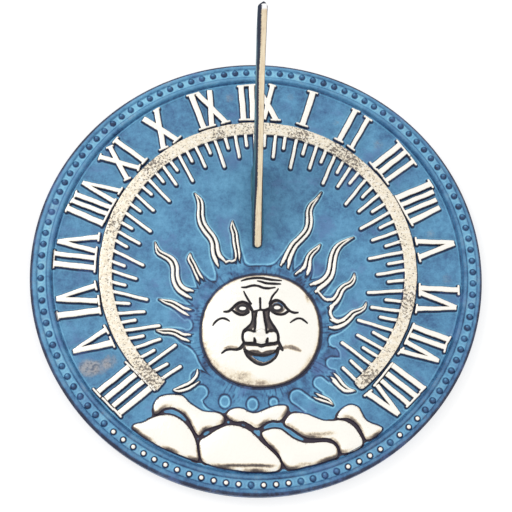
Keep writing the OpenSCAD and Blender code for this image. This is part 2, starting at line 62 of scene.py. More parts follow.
# Thirteen of the flames: points run from root to tip along the middle, each with the width there.
flames = [
    [(-20, 2.5, 6.5), (-22.3, 6, 5.5), (-23.6, 10, 5), (-24, 14, 4.8), (-25.5, 18, 4.8), (-28.5, 22, 4.8),
     (-31, 26, 4.6), (-32, 31, 4.2), (-32, 36, 4), (-32.8, 40.5, 3.2), (-35.5, 44.8, 0.6)],
    [(-10.8, 3.4, 2.9), (-11, 8, 3.3), (-11.6, 12, 3.5), (-12.1, 16, 3.6), (-12.5, 20, 3.6), (-13.8, 24, 3),
     (-13.8, 28, 0.6)],
    [(-36.5, -15.8, 6), (-40, -14.3, 5.5), (-43.3, -12, 5.2), (-45.3, -8, 4.8), (-46, -4, 4.6),
     (-46.2, 0, 4.6), (-47.5, 3.5, 4.4), (-50, 5.8, 3.8), (-53, 7.5, 3.4), (-55.8, 9.5, 3),
     (-57.5, 15, 0.6)],
    [(-31, -8.3, 3.9), (-32.7, -5.5, 3.7), (-34.3, -2, 3.4), (-35.8, 1.5, 3.2), (-37.7, 5, 3),
     (-37.7, 8.5, 0.6)],
    [(-37, -26.5, 5), (-41, -25, 4.2), (-44, -23, 3.8), (-47.5, -21, 3.4), (-51, -20, 2.6),
     (-54.8, -18.5, 0.6)],
    [(-37, -40.8, 5), (-41, -40, 4.2), (-44.5, -38.2, 3.6), (-48, -37.2, 3.4), (-52, -37, 3),
     (-55.5, -36.5, 1.2)],
    [(15.5, 1, 6), (17, 5, 5.2), (18.8, 9.5, 4.8), (21, 13.5, 4.6), (24.5, 17, 4.4), (27.8, 21, 4.4),
     (29.5, 25, 4.2), (30, 29.5, 4), (30, 34, 3.6), (31.5, 38, 3), (34.5, 41.5, 1.8), (37.5, 46, 0.5)],
    [(26, -3.5, 6), (28, 0, 5), (28.8, 3.5, 4), (29.5, 6.5, 3.6), (31.5, 9.3, 3.2), (34, 11.5, 2.6),
     (35.8, 14, 0.8)],
    [(31.5, -12, 7), (34, -10.5, 6), (37.5, -8.3, 5.2), (40.3, -5, 5), (41.8, -1, 4.8), (42.5, 3, 4.6),
     (43.3, 7.5, 4.4), (45, 11.3, 4), (47.8, 14.3, 3), (51.5, 16.5, 2), (55.3, 18.3, 0.6)],
    [(39.5, -21, 6), (42.8, -19.5, 4.6), (45.3, -16.5, 4), (46.7, -13.5, 3.8), (49, -11, 3.4),
     (52.3, -9.3, 3), (54.3, -6.5, 2.4), (54.8, -3, 0.6)],
    [(40.5, -32.5, 6), (44, -33, 5.4), (48, -31.5, 4.6), (51, -29, 4), (53.5, -26.5, 3.4), (57, -25, 2.8),
     (59.8, -23, 2), (60.8, -20, 0.6)],
    [(40, -61.2, 3.6), (42.8, -63.7, 4), (45.5, -67.3, 3.9), (49, -69.8, 3), (53, -70.3, 0.8)],
    [(30.6, -72.6, 3.4), (34.5, -74.5, 3.5), (38, -75.9, 2.8), (40.5, -77.8, 0.8)]]
flames = [smooth(f, 3) for f in flames]
# Single strands: two that make the thin flame at the lower left, then joins between the roots.
root_strands = [
    [(-32.9, -58.6, 0.5), (-33.4, -62, 1.3), (-36.9, -65.7, 1.5), (-41.2, -68, 1.4), (-45.7, -69.6, 0.5)],
    [(-32, -65.3, 0.4), (-35.2, -67.5, 1.3), (-38.4, -69.5, 1.4), (-42.8, -70.6, 1.2), (-45.7, -69.9, 0.5)],
    [(-17.4, 3, 1.1), (-15.8, 3.9, 1.1), (-14, 3.7, 1.2), (-12.4, 4.4, 1.1)],
    [(33.5, -13.5, 1), (36, -16.5, 1.2), (38, -18.4, 1.4), (41, -18.6, 1.5)],
    [(42, -22.5, 1.4), (40.6, -26, 1.5), (42, -29.6, 1.5), (45, -31, 1.6), (48, -30.4, 1.6)],
    [(41, -65, 1), (44, -67.6, 1.6), (47.5, -70.2, 1.8), (51.5, -70.5, 1)],
    [(21.5, -3.8, 0.9), (24.5, -1.5, 1.2), (27, 0.2, 1.2)]]
root_strands = [smooth(s, 3) for s in root_strands]
groove_w = 0.42
# How far a flame's body runs on past its root and how much wider it grows there, and the depth
# given to points too far from anything to be measured.
body_runs_on, body_flare = 5, 1.5
far_off = -7.0


def step(value, low, high):
    """0 at low, 1 at high and flat beyond them, with a smooth s between; low may be the larger."""
    t = np.clip((value - low) / (high - low), 0, 1)
    return t * t * (3 - 2 * t)


def close_to(x, y, ax, ay, bx, by, reach=8):
    """Numbers of the points in the upright box round a and b, widened by the reach."""
    return np.nonzero((abs(x - (ax + bx) / 2) < abs(ax - bx) / 2 + reach)
                      & (abs(y - (ay + by) / 2) < abs(ay - by) / 2 + reach))[0]


def strand_depth(x, y, strands):
    """How deep each point lies in the nearest strand, negative outside, and that strand's half width.
    Depth is the half width at the nearest place of the middle line, less the distance to it."""
    depth, half = np.full(x.shape, far_off), np.ones(x.shape)
    for strand in strands:
        for (ax, ay, aw), (bx, by, bw) in zip(strand[:-1], strand[1:]):
            near = close_to(x, y, ax, ay, bx, by)
            ux, uy = bx - ax, by - ay
            px, py = x[near] - ax, y[near] - ay
            t = np.clip((px * ux + py * uy) / (ux * ux + uy * uy + 1e-9), 0, 1)
            w = (aw + (bw - aw) * t) / 2
            d = w - np.hypot(px - ux * t, py - uy * t)
            better = d > depth[near]
            half[near[better]] = w[better]
            depth[near[better]] = d[better]
    return depth, half


def flame_depth(x, y):
    """Depth in the polished strands, and in the whole flames. Across a flame the strands lie a quarter
    of its width on both sides of its middle line; the tip runs out in one strand, and at the root the
    strands part and stop, a little ragged, while the flame runs on under the patina."""
    best, body = np.full(x.shape, far_off), np.full(x.shape, far_off)
    for flame in flames:
        root = flame[0, :2]
        way = (root - flame[1, :2]) / np.linalg.norm(root - flame[1, :2])
        longer = np.vstack([np.r_[root + body_runs_on * way, flame[0, 2] + body_flare], flame])
        depth, half = strand_depth(x, y, [longer])
        past = (x - root[0]) * way[0] + (y - root[1]) * way[1] + 0.5 * np.sin(2.1 * x + 1.4 * y)
        gap = (groove_w / 2 + 0.07 * half) * step(half, 0.9, 1.6) + 0.3 * half * step(past, -5, 1)
        twin = (half - gap) / 2 - abs(half - depth - (half + gap) / 2) - 0.1 - 0.4 * step(past, -2.5, 0.6)
        near = (depth > -6) & (abs(past) < 80)
        best = np.where(near, np.maximum(best, np.minimum(twin, 0.4 - past)), best)
        body = np.maximum(body, depth)
    return np.maximum(best, strand_depth(x, y, root_strands)[0]), body


# ------------------------------------------------------------------ clouds
# Seven domed pillows fill the foot of the dial, cast with the plate, with narrow sunk seams between
# them. Their tops are polished, and painted shade darkens their lower edges.
clouds = [
    [(-56, -82.5), (-56.3, -78), (-53.5, -74), (-49, -72.5), (-44, -72.5), (-40.5, -73.5), (-37, -77),
     (-33, -79.8), (-29.5, -81.5), (-24, -82), (-20.5, -83), (-18.3, -85), (-18.5, -87.5), (-22, -89),
     (-26, -90.5), (-29.5, -92), (-31.8, -94.5), (-34, -92), (-36, -88), (-38.5, -84), (-42, -81),
     (-46.5, -79.3), (-51, -80), (-54, -82.5)],
    [(-67.5, -90.5), (-66, -88.5), (-62, -87.5), (-57.5, -85.5), (-53, -83.7), (-48, -83.5), (-43.5, -85),
     (-39.5, -88), (-36, -92.5), (-33.5, -98), (-32.3, -104), (-32.3, -108), (-36, -107), (-44, -104),
     (-52, -100.5), (-60, -96), (-65, -92.5)],
    [(-31, -97.5), (-27, -95), (-22, -91.5), (-16.5, -89.2), (-11, -89.5), (-5.5, -91.5), (-1.5, -95),
     (2.5, -99), (8, -104), (11.5, -108.5), (12, -111.5), (9.5, -113.5), (2, -114), (-8, -113.5),
     (-18, -112), (-26, -110), (-30, -108), (-31.2, -103)],
    [(-17, -83.5), (-15, -80.8), (-11.5, -79.8), (-8, -80.3), (-5, -82), (-1.5, -82.5), (2, -81.5),
     (6, -79.8), (10.5, -78.5), (15, -78.5), (16, -81), (14.5, -83.5), (11.5, -86.5), (8, -86.3),
     (4.5, -87.3), (1, -90), (-1.5, -90.5), (-4, -88.8), (-8, -86.8), (-12, -87), (-15.5, -85.5)],
    [(15, -89), (14.5, -87), (17.5, -83.3), (22, -82.5), (27, -83.3), (31, -85), (35.5, -86.7), (41, -86.7),
     (44, -86.3), (48, -87.3), (51.5, -90), (54.5, -94), (56, -97), (55.5, -100), (52, -102.5),
     (47.5, -104), (44.5, -103.8), (43.5, -100.5), (41, -97.5), (37, -96), (31, -96), (26, -95.7),
     (21.5, -93), (18, -90.5)],
    [(2, -94), (4, -92), (8, -91), (12, -91.5), (15, -93.5), (19, -96.3), (24, -98.5), (30, -98.5),
     (36, -98.3), (40.5, -99.5), (42.5, -102.5), (42.5, -105.5), (40, -107), (34, -109), (26, -111),
     (20, -112.3), (16, -112.5), (13.5, -109.5), (11, -104.5), (6, -99.5)],
    [(43, -85), (44.5, -81.5), (47.5, -79), (51, -78), (54.5, -79.3), (56, -82), (58, -86), (61, -88),
     (65, -89.5), (67, -91), (65, -93.5), (62, -95.8), (58.5, -96.8), (57, -94.5), (55, -90.5), (52, -87),
     (48.5, -85.2)]]
clouds = [smooth(c, 3, closed=True) for c in clouds]


def cloud_depth(x, y):
    """Distance in from the outline of the nearest cloud, negative outside it, and of the next nearest.
    A point is inside where an outline's sides cross its row an odd number of times to its right."""
    best, second = np.full(x.shape, far_off), np.full(x.shape, far_off)
    for loop in clouds:
        near = close_to(x, y, *loop.min(0), *loop.max(0))
        px, py = x[near], y[near]
        away, inside = np.full(px.shape, 99.0), np.zeros(px.shape, bool)
        for (ax, ay), (bx, by) in zip(loop, np.roll(loop, -1, 0)):
            ux, uy = bx - ax, by - ay
            t = np.clip(((px - ax) * ux + (py - ay) * uy) / (ux * ux + uy * uy), 0, 1)
            away = np.minimum(away, np.hypot(px - ax - ux * t, py - ay - uy * t))
            if ay != by:
                inside ^= ((ay > py) != (by > py)) & (px < ax + ux * (py - ay) / uy)
        depth = np.where(inside, away, -away)
        second[near] = np.maximum(second[near], np.minimum(best[near], depth))
        best[near] = np.maximum(best[near], depth)
    return best, second


# ------------------------------------------------------------------ hour ring
# A flat ring with a line for every quarter of an hour, all raised together in the casting. Its two
# edges were cut a little off the middle of the dial, and the lines lean more towards the sides.
ring_in, ring_out = 82.3, 89.3
ring_inner_mid, ring_outer_mid = (0.95, -0.6), (0.8, -0.15)
ring_from, ring_to = -51.3, 232.2
line_w = 1.75
# Each line's direction and its lean, in degrees.
hour_lines = [
    (223.2, -5.5), (206.6, -18), (189.8, -24), (172.9, -20), (156.4, -14), (139.5, -7),
    (123.3, -6.5), (107.2, 1.5), (90.6, 1), (73.3, 4.5), (56.3, 11), (40.2, 11.5), (23.6, 7), (6.5, 5.5),
    (-9.4, 13), (-26.1, 8.5), (-41.9, 3.5)]
half_lines = [
    (214.6, -14.5), (199.2, -15), (181.4, -20), (164.7, -16), (147.7, -11), (131.3, -7),
    (115.6, -1), (98.6, 1), (82, 1), (64.7, 8), (48.3, 9), (32, 8.7), (15.1, 5), (-1, 11), (-17.8, 10),
    (-34.4, 3.7)]
quarter_lines = [
    (226.4, -17), (219.1, -9), (210.2, -19), (203.1, -13), (194.6, -19), (186, -20),
    (177.4, -19), (168.6, -19), (160.8, -13), (152.2, -10), (143.5, -5), (135.4, -7), (127.6, -3),
    (119.7, -3), (111.2, 2), (102.9, 3), (94.4, 1), (86.5, 1), (78, 2), (69.1, 3.4), (60.6, 9), (52.1, 10),
    (44.4, 8), (36.1, 10), (27.7, 7), (19.6, 7), (10.8, 6), (2.7, 9), (-5.2, 10), (-13.8, 8), (-21.7, 10),
    (-30.3, 0), (-38, 4), (-46.1, 2)]


def leaning_line(direction, lean, inner_r):
    """A strand from inside the ring to the inner radius, turned by its lean about its place on the ring."""
    a, b = math.radians(direction), math.radians(direction + lean)
    reach = (ring_in - inner_r) / math.cos(math.radians(lean)) - line_w / 2
    x, y = ring_in * math.cos(a), ring_in * math.sin(a)
    return [(x + math.cos(b), y + math.sin(b), line_w),
            (x - reach * math.cos(b), y - reach * math.sin(b), line_w)]


# How far in each kind reaches; the last two are the lines at the ring's ends.
line_strands = [leaning_line(direction, lean, inner_r)
                for lines, inner_r in ((hour_lines, 63), (half_lines, 67), (quarter_lines, 73.5),
                                       ([(230.6, -17)], 70), ([(-50.4, 5)], 73.5))
                for direction, lean in lines]


def ring_depth(x, y):
    """Depth in the ring: the smaller of the distances to its outer circle, its inner one and an end.
    The corners are rounded, more at the end on the right."""
    a = (np.degrees(np.arctan2(y, x)) + 90) % 360 - 90
    across = np.minimum(ring_out - np.hypot(x - ring_outer_mid[0], y - ring_outer_mid[1]),
                        np.hypot(x - ring_inner_mid[0], y - ring_inner_mid[1]) - ring_in)
    along = np.minimum(a - ring_from, ring_to - a) * math.radians(1) * np.hypot(x, y)
    corner = np.where((a < 0) & (a > -60), 2.2, 0.4)
    inside = np.minimum(across, along)
    rounded = corner - np.hypot(np.maximum(corner - across, 0), np.maximum(corner - along, 0))
    return np.where((across < corner) & (along < corner), np.minimum(rounded, inside), inside)


# ------------------------------------------------------------------ numerals
# Seventeen Roman numerals stand on the ring, IIII to XII and on to VIII, cast with the plate from a
# pattern cut a little unevenly, and rubbed bright.
# A stroke is its outer end, its inner end and the width at each; a serif is its two ends.
strokes = [
    (-86.5, -70.8, -70.3, -57.2, 2.8, 2.8), (-82.3, -74.8, -66.5, -61.3, 3, 3),
    (-78.3, -78.7, -62.3, -65.2, 2.6, 2.6), (-74.6, -82.6, -58.3, -68.8, 3, 3.2),
    (-101, -48.3, -83.5, -36.3, 1.6, 2.6), (-101, -48.6, -79.2, -43.6, 2.4, 3.6),
    (-111.5, -18.4, -89.8, -10.8, 2, 2.8), (-111.5, -18.9, -88.5, -19.8, 2.6, 3),
    (-110.5, -28.4, -87.3, -25.2, 3.4, 3.4), (-112.3, 15.3, -89.6, 17.6, 1.8, 3),
    (-112.3, 15, -90.6, 9.3, 2.4, 2.8), (-113.8, 7.8, -90.8, 5.2, 2.6, 2.8),
    (-113.8, 1.9, -90.8, -0.6, 3.2, 3.2), (-99.8, 51, -78, 45.8, 1.6, 2.6),
    (-99.8, 50.6, -80.8, 38.8, 2.2, 2.6), (-103.6, 43.6, -83.2, 35.6, 2.8, 2.6),
    (-105.2, 39.6, -85.2, 31.6, 2.6, 2.6), (-107.5, 35, -87.3, 25.8, 3.2, 3.2),
    (-81.8, 77.3, -64.6, 64.2, 2.8, 2.8), (-90.5, 66.8, -67.8, 60, 2.6, 2.6),
    (-85, 73, -74.3, 53, 2.6, 2.8), (-66, 91.2, -46, 77.8, 3.4, 3), (-58.6, 97, -53.8, 72.4, 3, 3),
    (-38.2, 106.8, -30.6, 85.5, 3.4, 3), (-34.6, 107.6, -17.6, 89, 2.8, 3), (-27.3, 110, -26, 86.8, 3, 3),
    (-8.9, 113.3, -7.3, 91, 3.2, 3.2), (-2.6, 113.5, -1.9, 91.2, 3.2, 3), (9.9, 113.5, 4.6, 91.2, 2.8, 2.4),
    (0.6, 113.5, 11.8, 91, 2.6, 3.2), (33.9, 109, 27, 87.3, 3.4, 3.2), (58.8, 97.6, 48.2, 77.8, 3, 3),
    (66.2, 92.5, 55.3, 73.3, 2.6, 2.2), (84.3, 75.8, 67.8, 62, 3.2, 3.2), (87.5, 71.3, 71.3, 58, 2.8, 3.2),
    (91.5, 65.3, 74.8, 52.8, 2.6, 2.6), (101, 51.2, 80.8, 42.4, 3.4, 3.2), (102.3, 46.3, 83, 38, 2.6, 2.6),
    (103.6, 41.4, 85.3, 33.3, 2.6, 2.6), (105.2, 36.6, 87.6, 27.4, 2.8, 3.2),
    (112.3, 15.3, 90.6, 15.8, 2.4, 2.8), (112.3, 14.8, 91.8, 6.4, 2.6, 3),
    (113.2, -12.9, 91.2, -11.8, 3, 2.8), (111.3, -23, 91.2, -14.4, 2.4, 2.8),
    (111.3, -23.6, 89, -23.9, 1.8, 2.8), (106, -41.6, 86.6, -34.2, 3.2, 2.8),
    (104, -46.1, 84.6, -39, 2.8, 2.8), (99.8, -53.4, 81.8, -42.6, 2, 2.8),
    (99.8, -53.8, 78.4, -48, 1.8, 2.6), (90.6, -69.2, 74, -56.2, 3, 3), (86.7, -73.7, 70.6, -60.8, 3, 3),
    (82, -77.8, 67.4, -64.6, 2.6, 2.6), (76.4, -83.3, 65, -67.2, 2.2, 2.4),
    (76.2, -83.6, 59.6, -71.4, 2.4, 3.4)]
serifs = [
    (-72, -54.5, -56, -70), (-89, -69.3, -85.3, -73.5), (-84, -74.5, -78, -80.5),
    (-77.5, -80.5, -73.8, -84.5), (-84.5, -34, -82, -38.3), (-81, -40.5, -78.5, -46),
    (-90.5, -8.5, -89.5, -13.3), (-88.5, -17, -87.5, -22), (-87.5, -23.5, -86.8, -27),
    (-111, -26, -110, -30.3), (-114, 10, -114, -0.3), (-89, 20, -89.5, 15.5), (-90.3, 11.5, -91, -3),
    (-77, 47.5, -79, 43.8), (-80.5, 40.5, -88, 24.5), (-103, 45.5, -104, 42), (-104.5, 41, -106, 38.5),
    (-107, 37, -108.5, 33), (-83, 75.6, -80.6, 79), (-65.9, 62.5, -63.3, 65.9), (-91, 65.1, -90, 68.5),
    (-68.3, 58.3, -67.3, 61.7), (-86.6, 72.2, -83.4, 73.8), (-75.9, 52.2, -72.7, 53.8), (-44, 80, -48, 76),
    (-56, 71.3, -51.5, 73.5), (-60, 96, -57, 98), (-40.5, 106, -34, 108.3), (-33, 84.5, -24, 87.5),
    (-20, 88.5, -15.5, 90), (-10.8, 112.5, -0.3, 113.8), (8, 114, 11.5, 113), (-9.5, 90.8, -0.5, 91.2),
    (9, 91, 14, 91), (31, 110, 36.5, 108.3), (24, 89, 30, 87), (57, 98.5, 61, 96.5), (46, 79.5, 50.5, 77),
    (64, 93.8, 68, 91), (53.5, 75, 57, 72), (82.5, 78.3, 86, 73.4), (86, 73.3, 89.3, 68.8),
    (90, 67.6, 93, 63), (66, 64.3, 69.5, 59.8), (70, 59.9, 73, 55.8), (73.5, 54.8, 76.2, 50.8),
    (80, 43.5, 89, 25.5), (99.5, 53.5, 102, 49), (90.5, 18, 91, 14), (91.5, 8.5, 92.5, 4),
    (113.3, -10.5, 113, -15.5), (91.5, -9.5, 91, -16.3), (89.3, -21.8, 88.5, -26), (87, -32.5, 81.5, -44),
    (80.5, -46.5, 77.5, -49.7), (107, -40, 105, -43.3), (104.5, -44, 103, -48.5), (74, -55, 63.5, -67.5),
    (62, -70, 58, -73), (91.5, -68.3, 88.5, -71), (88, -72, 80.8, -79)]
serif_w = 1.15
serif_strands = [[(a, b, serif_w), (c, d, serif_w)] for a, b, c, d in serifs]


def stroke_depth(x, y):
    """Depth in the straight strokes: the smaller of the distance to a long side and to an end."""
    best = np.full(x.shape, far_off)
    for ax, ay, bx, by, aw, bw in strokes:
        near = close_to(x, y, ax, ay, bx, by)
        long = math.hypot(bx - ax, by - ay)
        ux, uy = (bx - ax) / long, (by - ay) / long
        px, py = x[near] - ax, y[near] - ay
        t = px * ux + py * uy
        side = abs(px * uy - py * ux) - (aw + (bw - aw) * np.clip(t / long, 0, 1)) / 2
        end = abs(t - long / 2) - long / 2
        d = -np.minimum(np.maximum(side, end), 0) - np.hypot(np.maximum(side, 0), np.maximum(end, 0))
        best[near] = np.maximum(best[near], d)
    return best


# ------------------------------------------------------------------ border
# Two turned rolls with a sunk channel between them, filled with 115 half-round beads that were
# punched by hand in the pattern. The beads beside the clouds were rubbed bright, save six.
# Height of the field, and radii of the plate and of the patches inside the border.
field_z, plate_r, patch_r = 5.5, 127.0, 114.6
fillet_in, fillet_out, fillet_rise, channel_in = 113.9, 115.0, 0.5, 115.75
rim_h, lip_z, roll_mids, roll_w, roll_rise = 8.0, 7.2, (117.25, 124.75), 2.5, 1.2
channel_z = rim_h - roll_rise
bead_ring_r, bead_r, bead_z = 121.4, 1.8, 6.5
bead_count, bead_turn = 115, -10.39
bright_from, bright_to = 229, 317
dull_beads = [268.2, 280.7, 283.9, 287, 290.1, 305.8]
# Direction, and how far the beads there stray round the ring, both in degrees.
stray = np.array([
    (0, -0.25), (30, 0), (60, -0.2), (100, 0), (140, 0.3), (150, 0.2), (160, -0.3), (170, -0.55),
    (185, -0.4), (210, -0.7), (227, -0.75), (235, -0.5), (245, -0.6), (258, -0.35), (275, -0.3),
    (310, -0.3), (335, -0.1), (350, -0.3), (360, -0.25)])
border_x, border_y = 0.5, 0.35


def from_border(x, y):
    """A point as seen from the middle of the border, which lies off the middle of the plate; the
    difference dies out towards the rim."""
    near = step(np.hypot(x, y), 126.4, 123.5)
    return x - border_x * near, y - border_y * near


def bead_place(x, y):
    """Offset of a point from the middle of the nearest bead, and that bead's direction in degrees."""
    x, y = from_border(x, y)
    a = np.degrees(np.arctan2(y, x)) % 360
    k = np.round((a - np.interp(a, stray[:, 0], stray[:, 1]) - bead_turn) / (360 / bead_count))
    even = (bead_turn + k * 360 / bead_count) % 360
    b = np.radians(even + np.interp(even, stray[:, 0], stray[:, 1]))
    return x - bead_ring_r * np.cos(b), y - bead_ring_r * np.sin(b), even


def border_height(x, y):
    """Height over the border: a low fillet, a sunk groove, and rolls and beads in the channel. A roll
    rises by the 0.4th power of 1 - s*s across it, a little fuller than an arc; a bead is a sphere."""
    r = np.hypot(*from_border(x, y))
    fillet = step(r, fillet_in - 0.2, fillet_in + 0.2) - step(r, fillet_out - 0.2, fillet_out + 0.2)
    rise = step(r, channel_in - 0.25, channel_in + 0.25)
    z = field_z + fillet_rise * fillet + (channel_z - field_z) * rise
    for middle in roll_mids:
        s = (r - middle) / (roll_w / 2)
        z = np.where(abs(s) < 1, channel_z + roll_rise * np.clip(1 - s * s, 0, 1) ** 0.4, z)
    dx, dy, _ = bead_place(x, y)
    ball = bead_z + np.sqrt(np.clip(bead_r ** 2 - dx * dx - dy * dy, 0, None))
    z = np.where(np.hypot(dx, dy) < bead_r, np.maximum(z, ball), z)
    return np.where(r > 126, lip_z - 0.5 * step(r, 126.2, plate_r), z)


def bump(value, middle, width):
    """1 at the middle, falling off on both sides like a bell."""
    return np.exp(-((value - middle) / width) ** 2)


def border_tone(tone, x, y, rim):
    """The patina's tone with the border's own laid over it: painted shade darkens the whole border towards
    the lower right and lays a dark line in the groove; a painted highlight runs along the fillet and the
    rolls' crests; dark lines lie beside the rolls and the channel is light; each bead is darker, with a
    painted highlight at its upper left, painted shade round its foot and a painted ring of light round it."""
    # painted shade: the border is darker towards the lower right and lighter towards the upper left
    shady = 0.08 * np.cos(np.arctan2(y, x) + 1.2)
    # a painted highlight along the fillet, and painted shade as a dark line in the groove
    tone = tone + 0.16 * bump(rim, 114.3, 0.4) * (rim > 113.2) - 0.16 * bump(rim, 115.5, 0.3)
    # the rolls' crests get a painted highlight
    bands = 0.39 - shady + 0.09 * bump(rim, 117.3, 0.7) + 0.1 * bump(rim, 124.8, 0.8)
    bands += 0.3 * step(rim, 118.5, 119.1) * step(rim, 123.6, 123.0)
    bands -= 0.1 * bump(rim, 118.5, 0.25) + 0.06 * bump(rim, 123.6, 0.25)
    tone = np.where(rim > 115.9, bands, tone)
    # the outer edge is dark, with the same painted shade towards the lower right
    tone = np.where(rim > 125.5, (0.2 - shady) * step(rim, 126.1, 125.6) + 0.04, tone)
    dx, dy, _ = bead_place(x, y)
    away = np.hypot(dx, dy)
    # each bead: a painted highlight at its upper left, painted shade round its foot, a painted ring of light
    # round it
    bead = 0.24 + 0.3 * bump(np.hypot(dx + 0.4, dy - 0.55), 0, 0.7) - 0.16 * bump(away, 1.7, 0.35)
    ringed = (tone + 0.1 * bump(away, 2.5, 0.4)) * step(away, 1.6, 2.1) + bead * step(away, 2.1, 1.6)
    return np.where(away < 3.4, ringed, tone)


# ------------------------------------------------------------------ dial plate, upper face
# The plate is one sand casting in brass, 254 mm across, blue with patina wherever it wasn't rubbed.
# Its upper face is shaped by one rule and made in patches that meet edge to edge: the field, the
# hour and numeral bands in halves, the bank of clouds, the border and the sun's face.
# Height of the relief and of the corona, and how far the relief is moved down and right for its painted
# shadow.
relief_h, corona_h, painted_shadow_shift = 2.3, 0.5, 0.12
# The cut of the corona's hairs, the rounding of flat tops, and the wall and dome of a cloud.
hair_cut, crown, cloud_wall, cloud_dome = 0.2, 0.12, 1.25, 1.2
sun_x, sun_y, sun_r = 2.0, -36.5, 33.0
# The corona is a disc of this radius, and runs into the flames over this width.
corona_r, melt = 38.2, 4
# Places where the metal is pitted: middle, reach across and up, and how much.
pitted = [(52, 68, 9, 9, 0.7), (26, 81, 5, 5, 0.63), (-22, 81, 3, 3, 0.56), (-57, -59, 9, 9, 0.56),
          (60, -62, 5, 5, 0.63), (-83, 27, 8, 8, 0.245), (84, -20, 9, 9, 0.28), (-60, 62, 9, 9, 0.28),
          (0, 86, 12, 12, 0.175)]
# Spots where the field was sanded through: middle, radius and how much.
sanded = [(-92.5, -57.5, 5.8, 1), (-86, -57, 5, 0.8), (-80.5, -53.5, 4.4, 0.8), (-15.5, 105.5, 3.2, 0.62),
          (20.8, 107, 2.5, 0.45), (47, 90, 2.2, 0.45), (72, 77, 3.5, 0.45), (100, 20, 4, 0.4),
          (107.5, -6, 3.5, 0.45)]
# The corona's foot below the face and the hollows in it that are open to the field, as wide strands;
# then its closed pockets, each a middle and a radius.
foot_of_corona = [
    [(-32, -63, 9), (-22, -72, 18), (-8, -77, 22), (6, -78, 22), (18, -75, 19), (31, -64, 12),
     (40, -50, 10)]]
open_hollows = [
    [(41, -54.6, 7), (47, -55.5, 9)],
    [(33.8, -65.5, 7.2), (38, -69, 7), (43, -73, 7.4)],
    [(21.5, -73.5, 8.8), (26.5, -77.3, 8.6), (33, -81, 9)],
    [(-31, -70.8, 8), (-33.5, -73.5, 8), (-37, -76, 9)]]
pockets = [(-18, -76, 3.2), (-3, -77.5, 3.2), (8.5, -76.5, 2.5), (42.5, -42, 3.4), (-37.5, -52, 3.6),
           (-39, -33, 3.2)]


def hand_cut(x, y):
    """The pattern was carved by hand, so every edge wanders by a tenth of a millimetre: each
    coordinate is moved by sines of both."""
    return (x + 0.08 * np.sin(0.43 * y + 1.3 * np.sin(0.31 * x)) + 0.03 * np.sin(1.9 * x + 1.1 * y),
            y + 0.08 * np.sin(0.47 * x + 1.7 * np.sin(0.29 * y)) + 0.03 * np.sin(1.7 * y - 1.3 * x))


def sun_edge(turn):
    """The face's outline, cut by hand: its radius at each direction, wide at the temples, flat on top."""
    return (sun_r + 0.43 * np.cos(2 * turn) + 0.2 * np.sin(2 * turn) - 0.37 * np.cos(4 * turn)
            + 0.2 * np.sin(turn))


def mounds(x, y, table):
    """The sum of bells, each given by its middle, its reach across and up, and its height."""
    return sum(rise * np.exp(-((x - mx) / wide) ** 2 - ((y - my) / high) ** 2)
               for mx, my, wide, high, rise in table)


def flat_relief(x, y):
    """Depth in all relief with a flat top, in the ring alone, and in the flames' whole bodies."""
    flame, body = flame_depth(x, y)
    lines, _ = strand_depth(x, y, line_strands + serif_strands)
    ring = ring_depth(x, y)
    return np.maximum.reduce([flame, lines, ring, stroke_depth(x, y)]), ring, body


def corona_depth(x, y, sun, flame_body):
    """Depth in the low corona: a disc that runs out round the roots of the flames and down to the
    clouds. Disc and flames melt together in hollow curves: the mean by a share m, and m * (1 - m) more."""
    disc = np.maximum(corona_r - sun, strand_depth(x, y, foot_of_corona)[0])
    roots = flame_body + 2.3 * step(sun, 53, 38)
    mix = np.clip(0.5 + 0.5 * (roots - disc) / melt, 0, 1)
    corona = disc * (1 - mix) + roots * mix + melt * mix * (1 - mix)
    for px, py, radius in pockets:
        corona = np.minimum(corona, np.hypot(x - px, 0.85 * (y - py)) - radius)
    return np.minimum(corona, -strand_depth(x, y, open_hollows)[0])


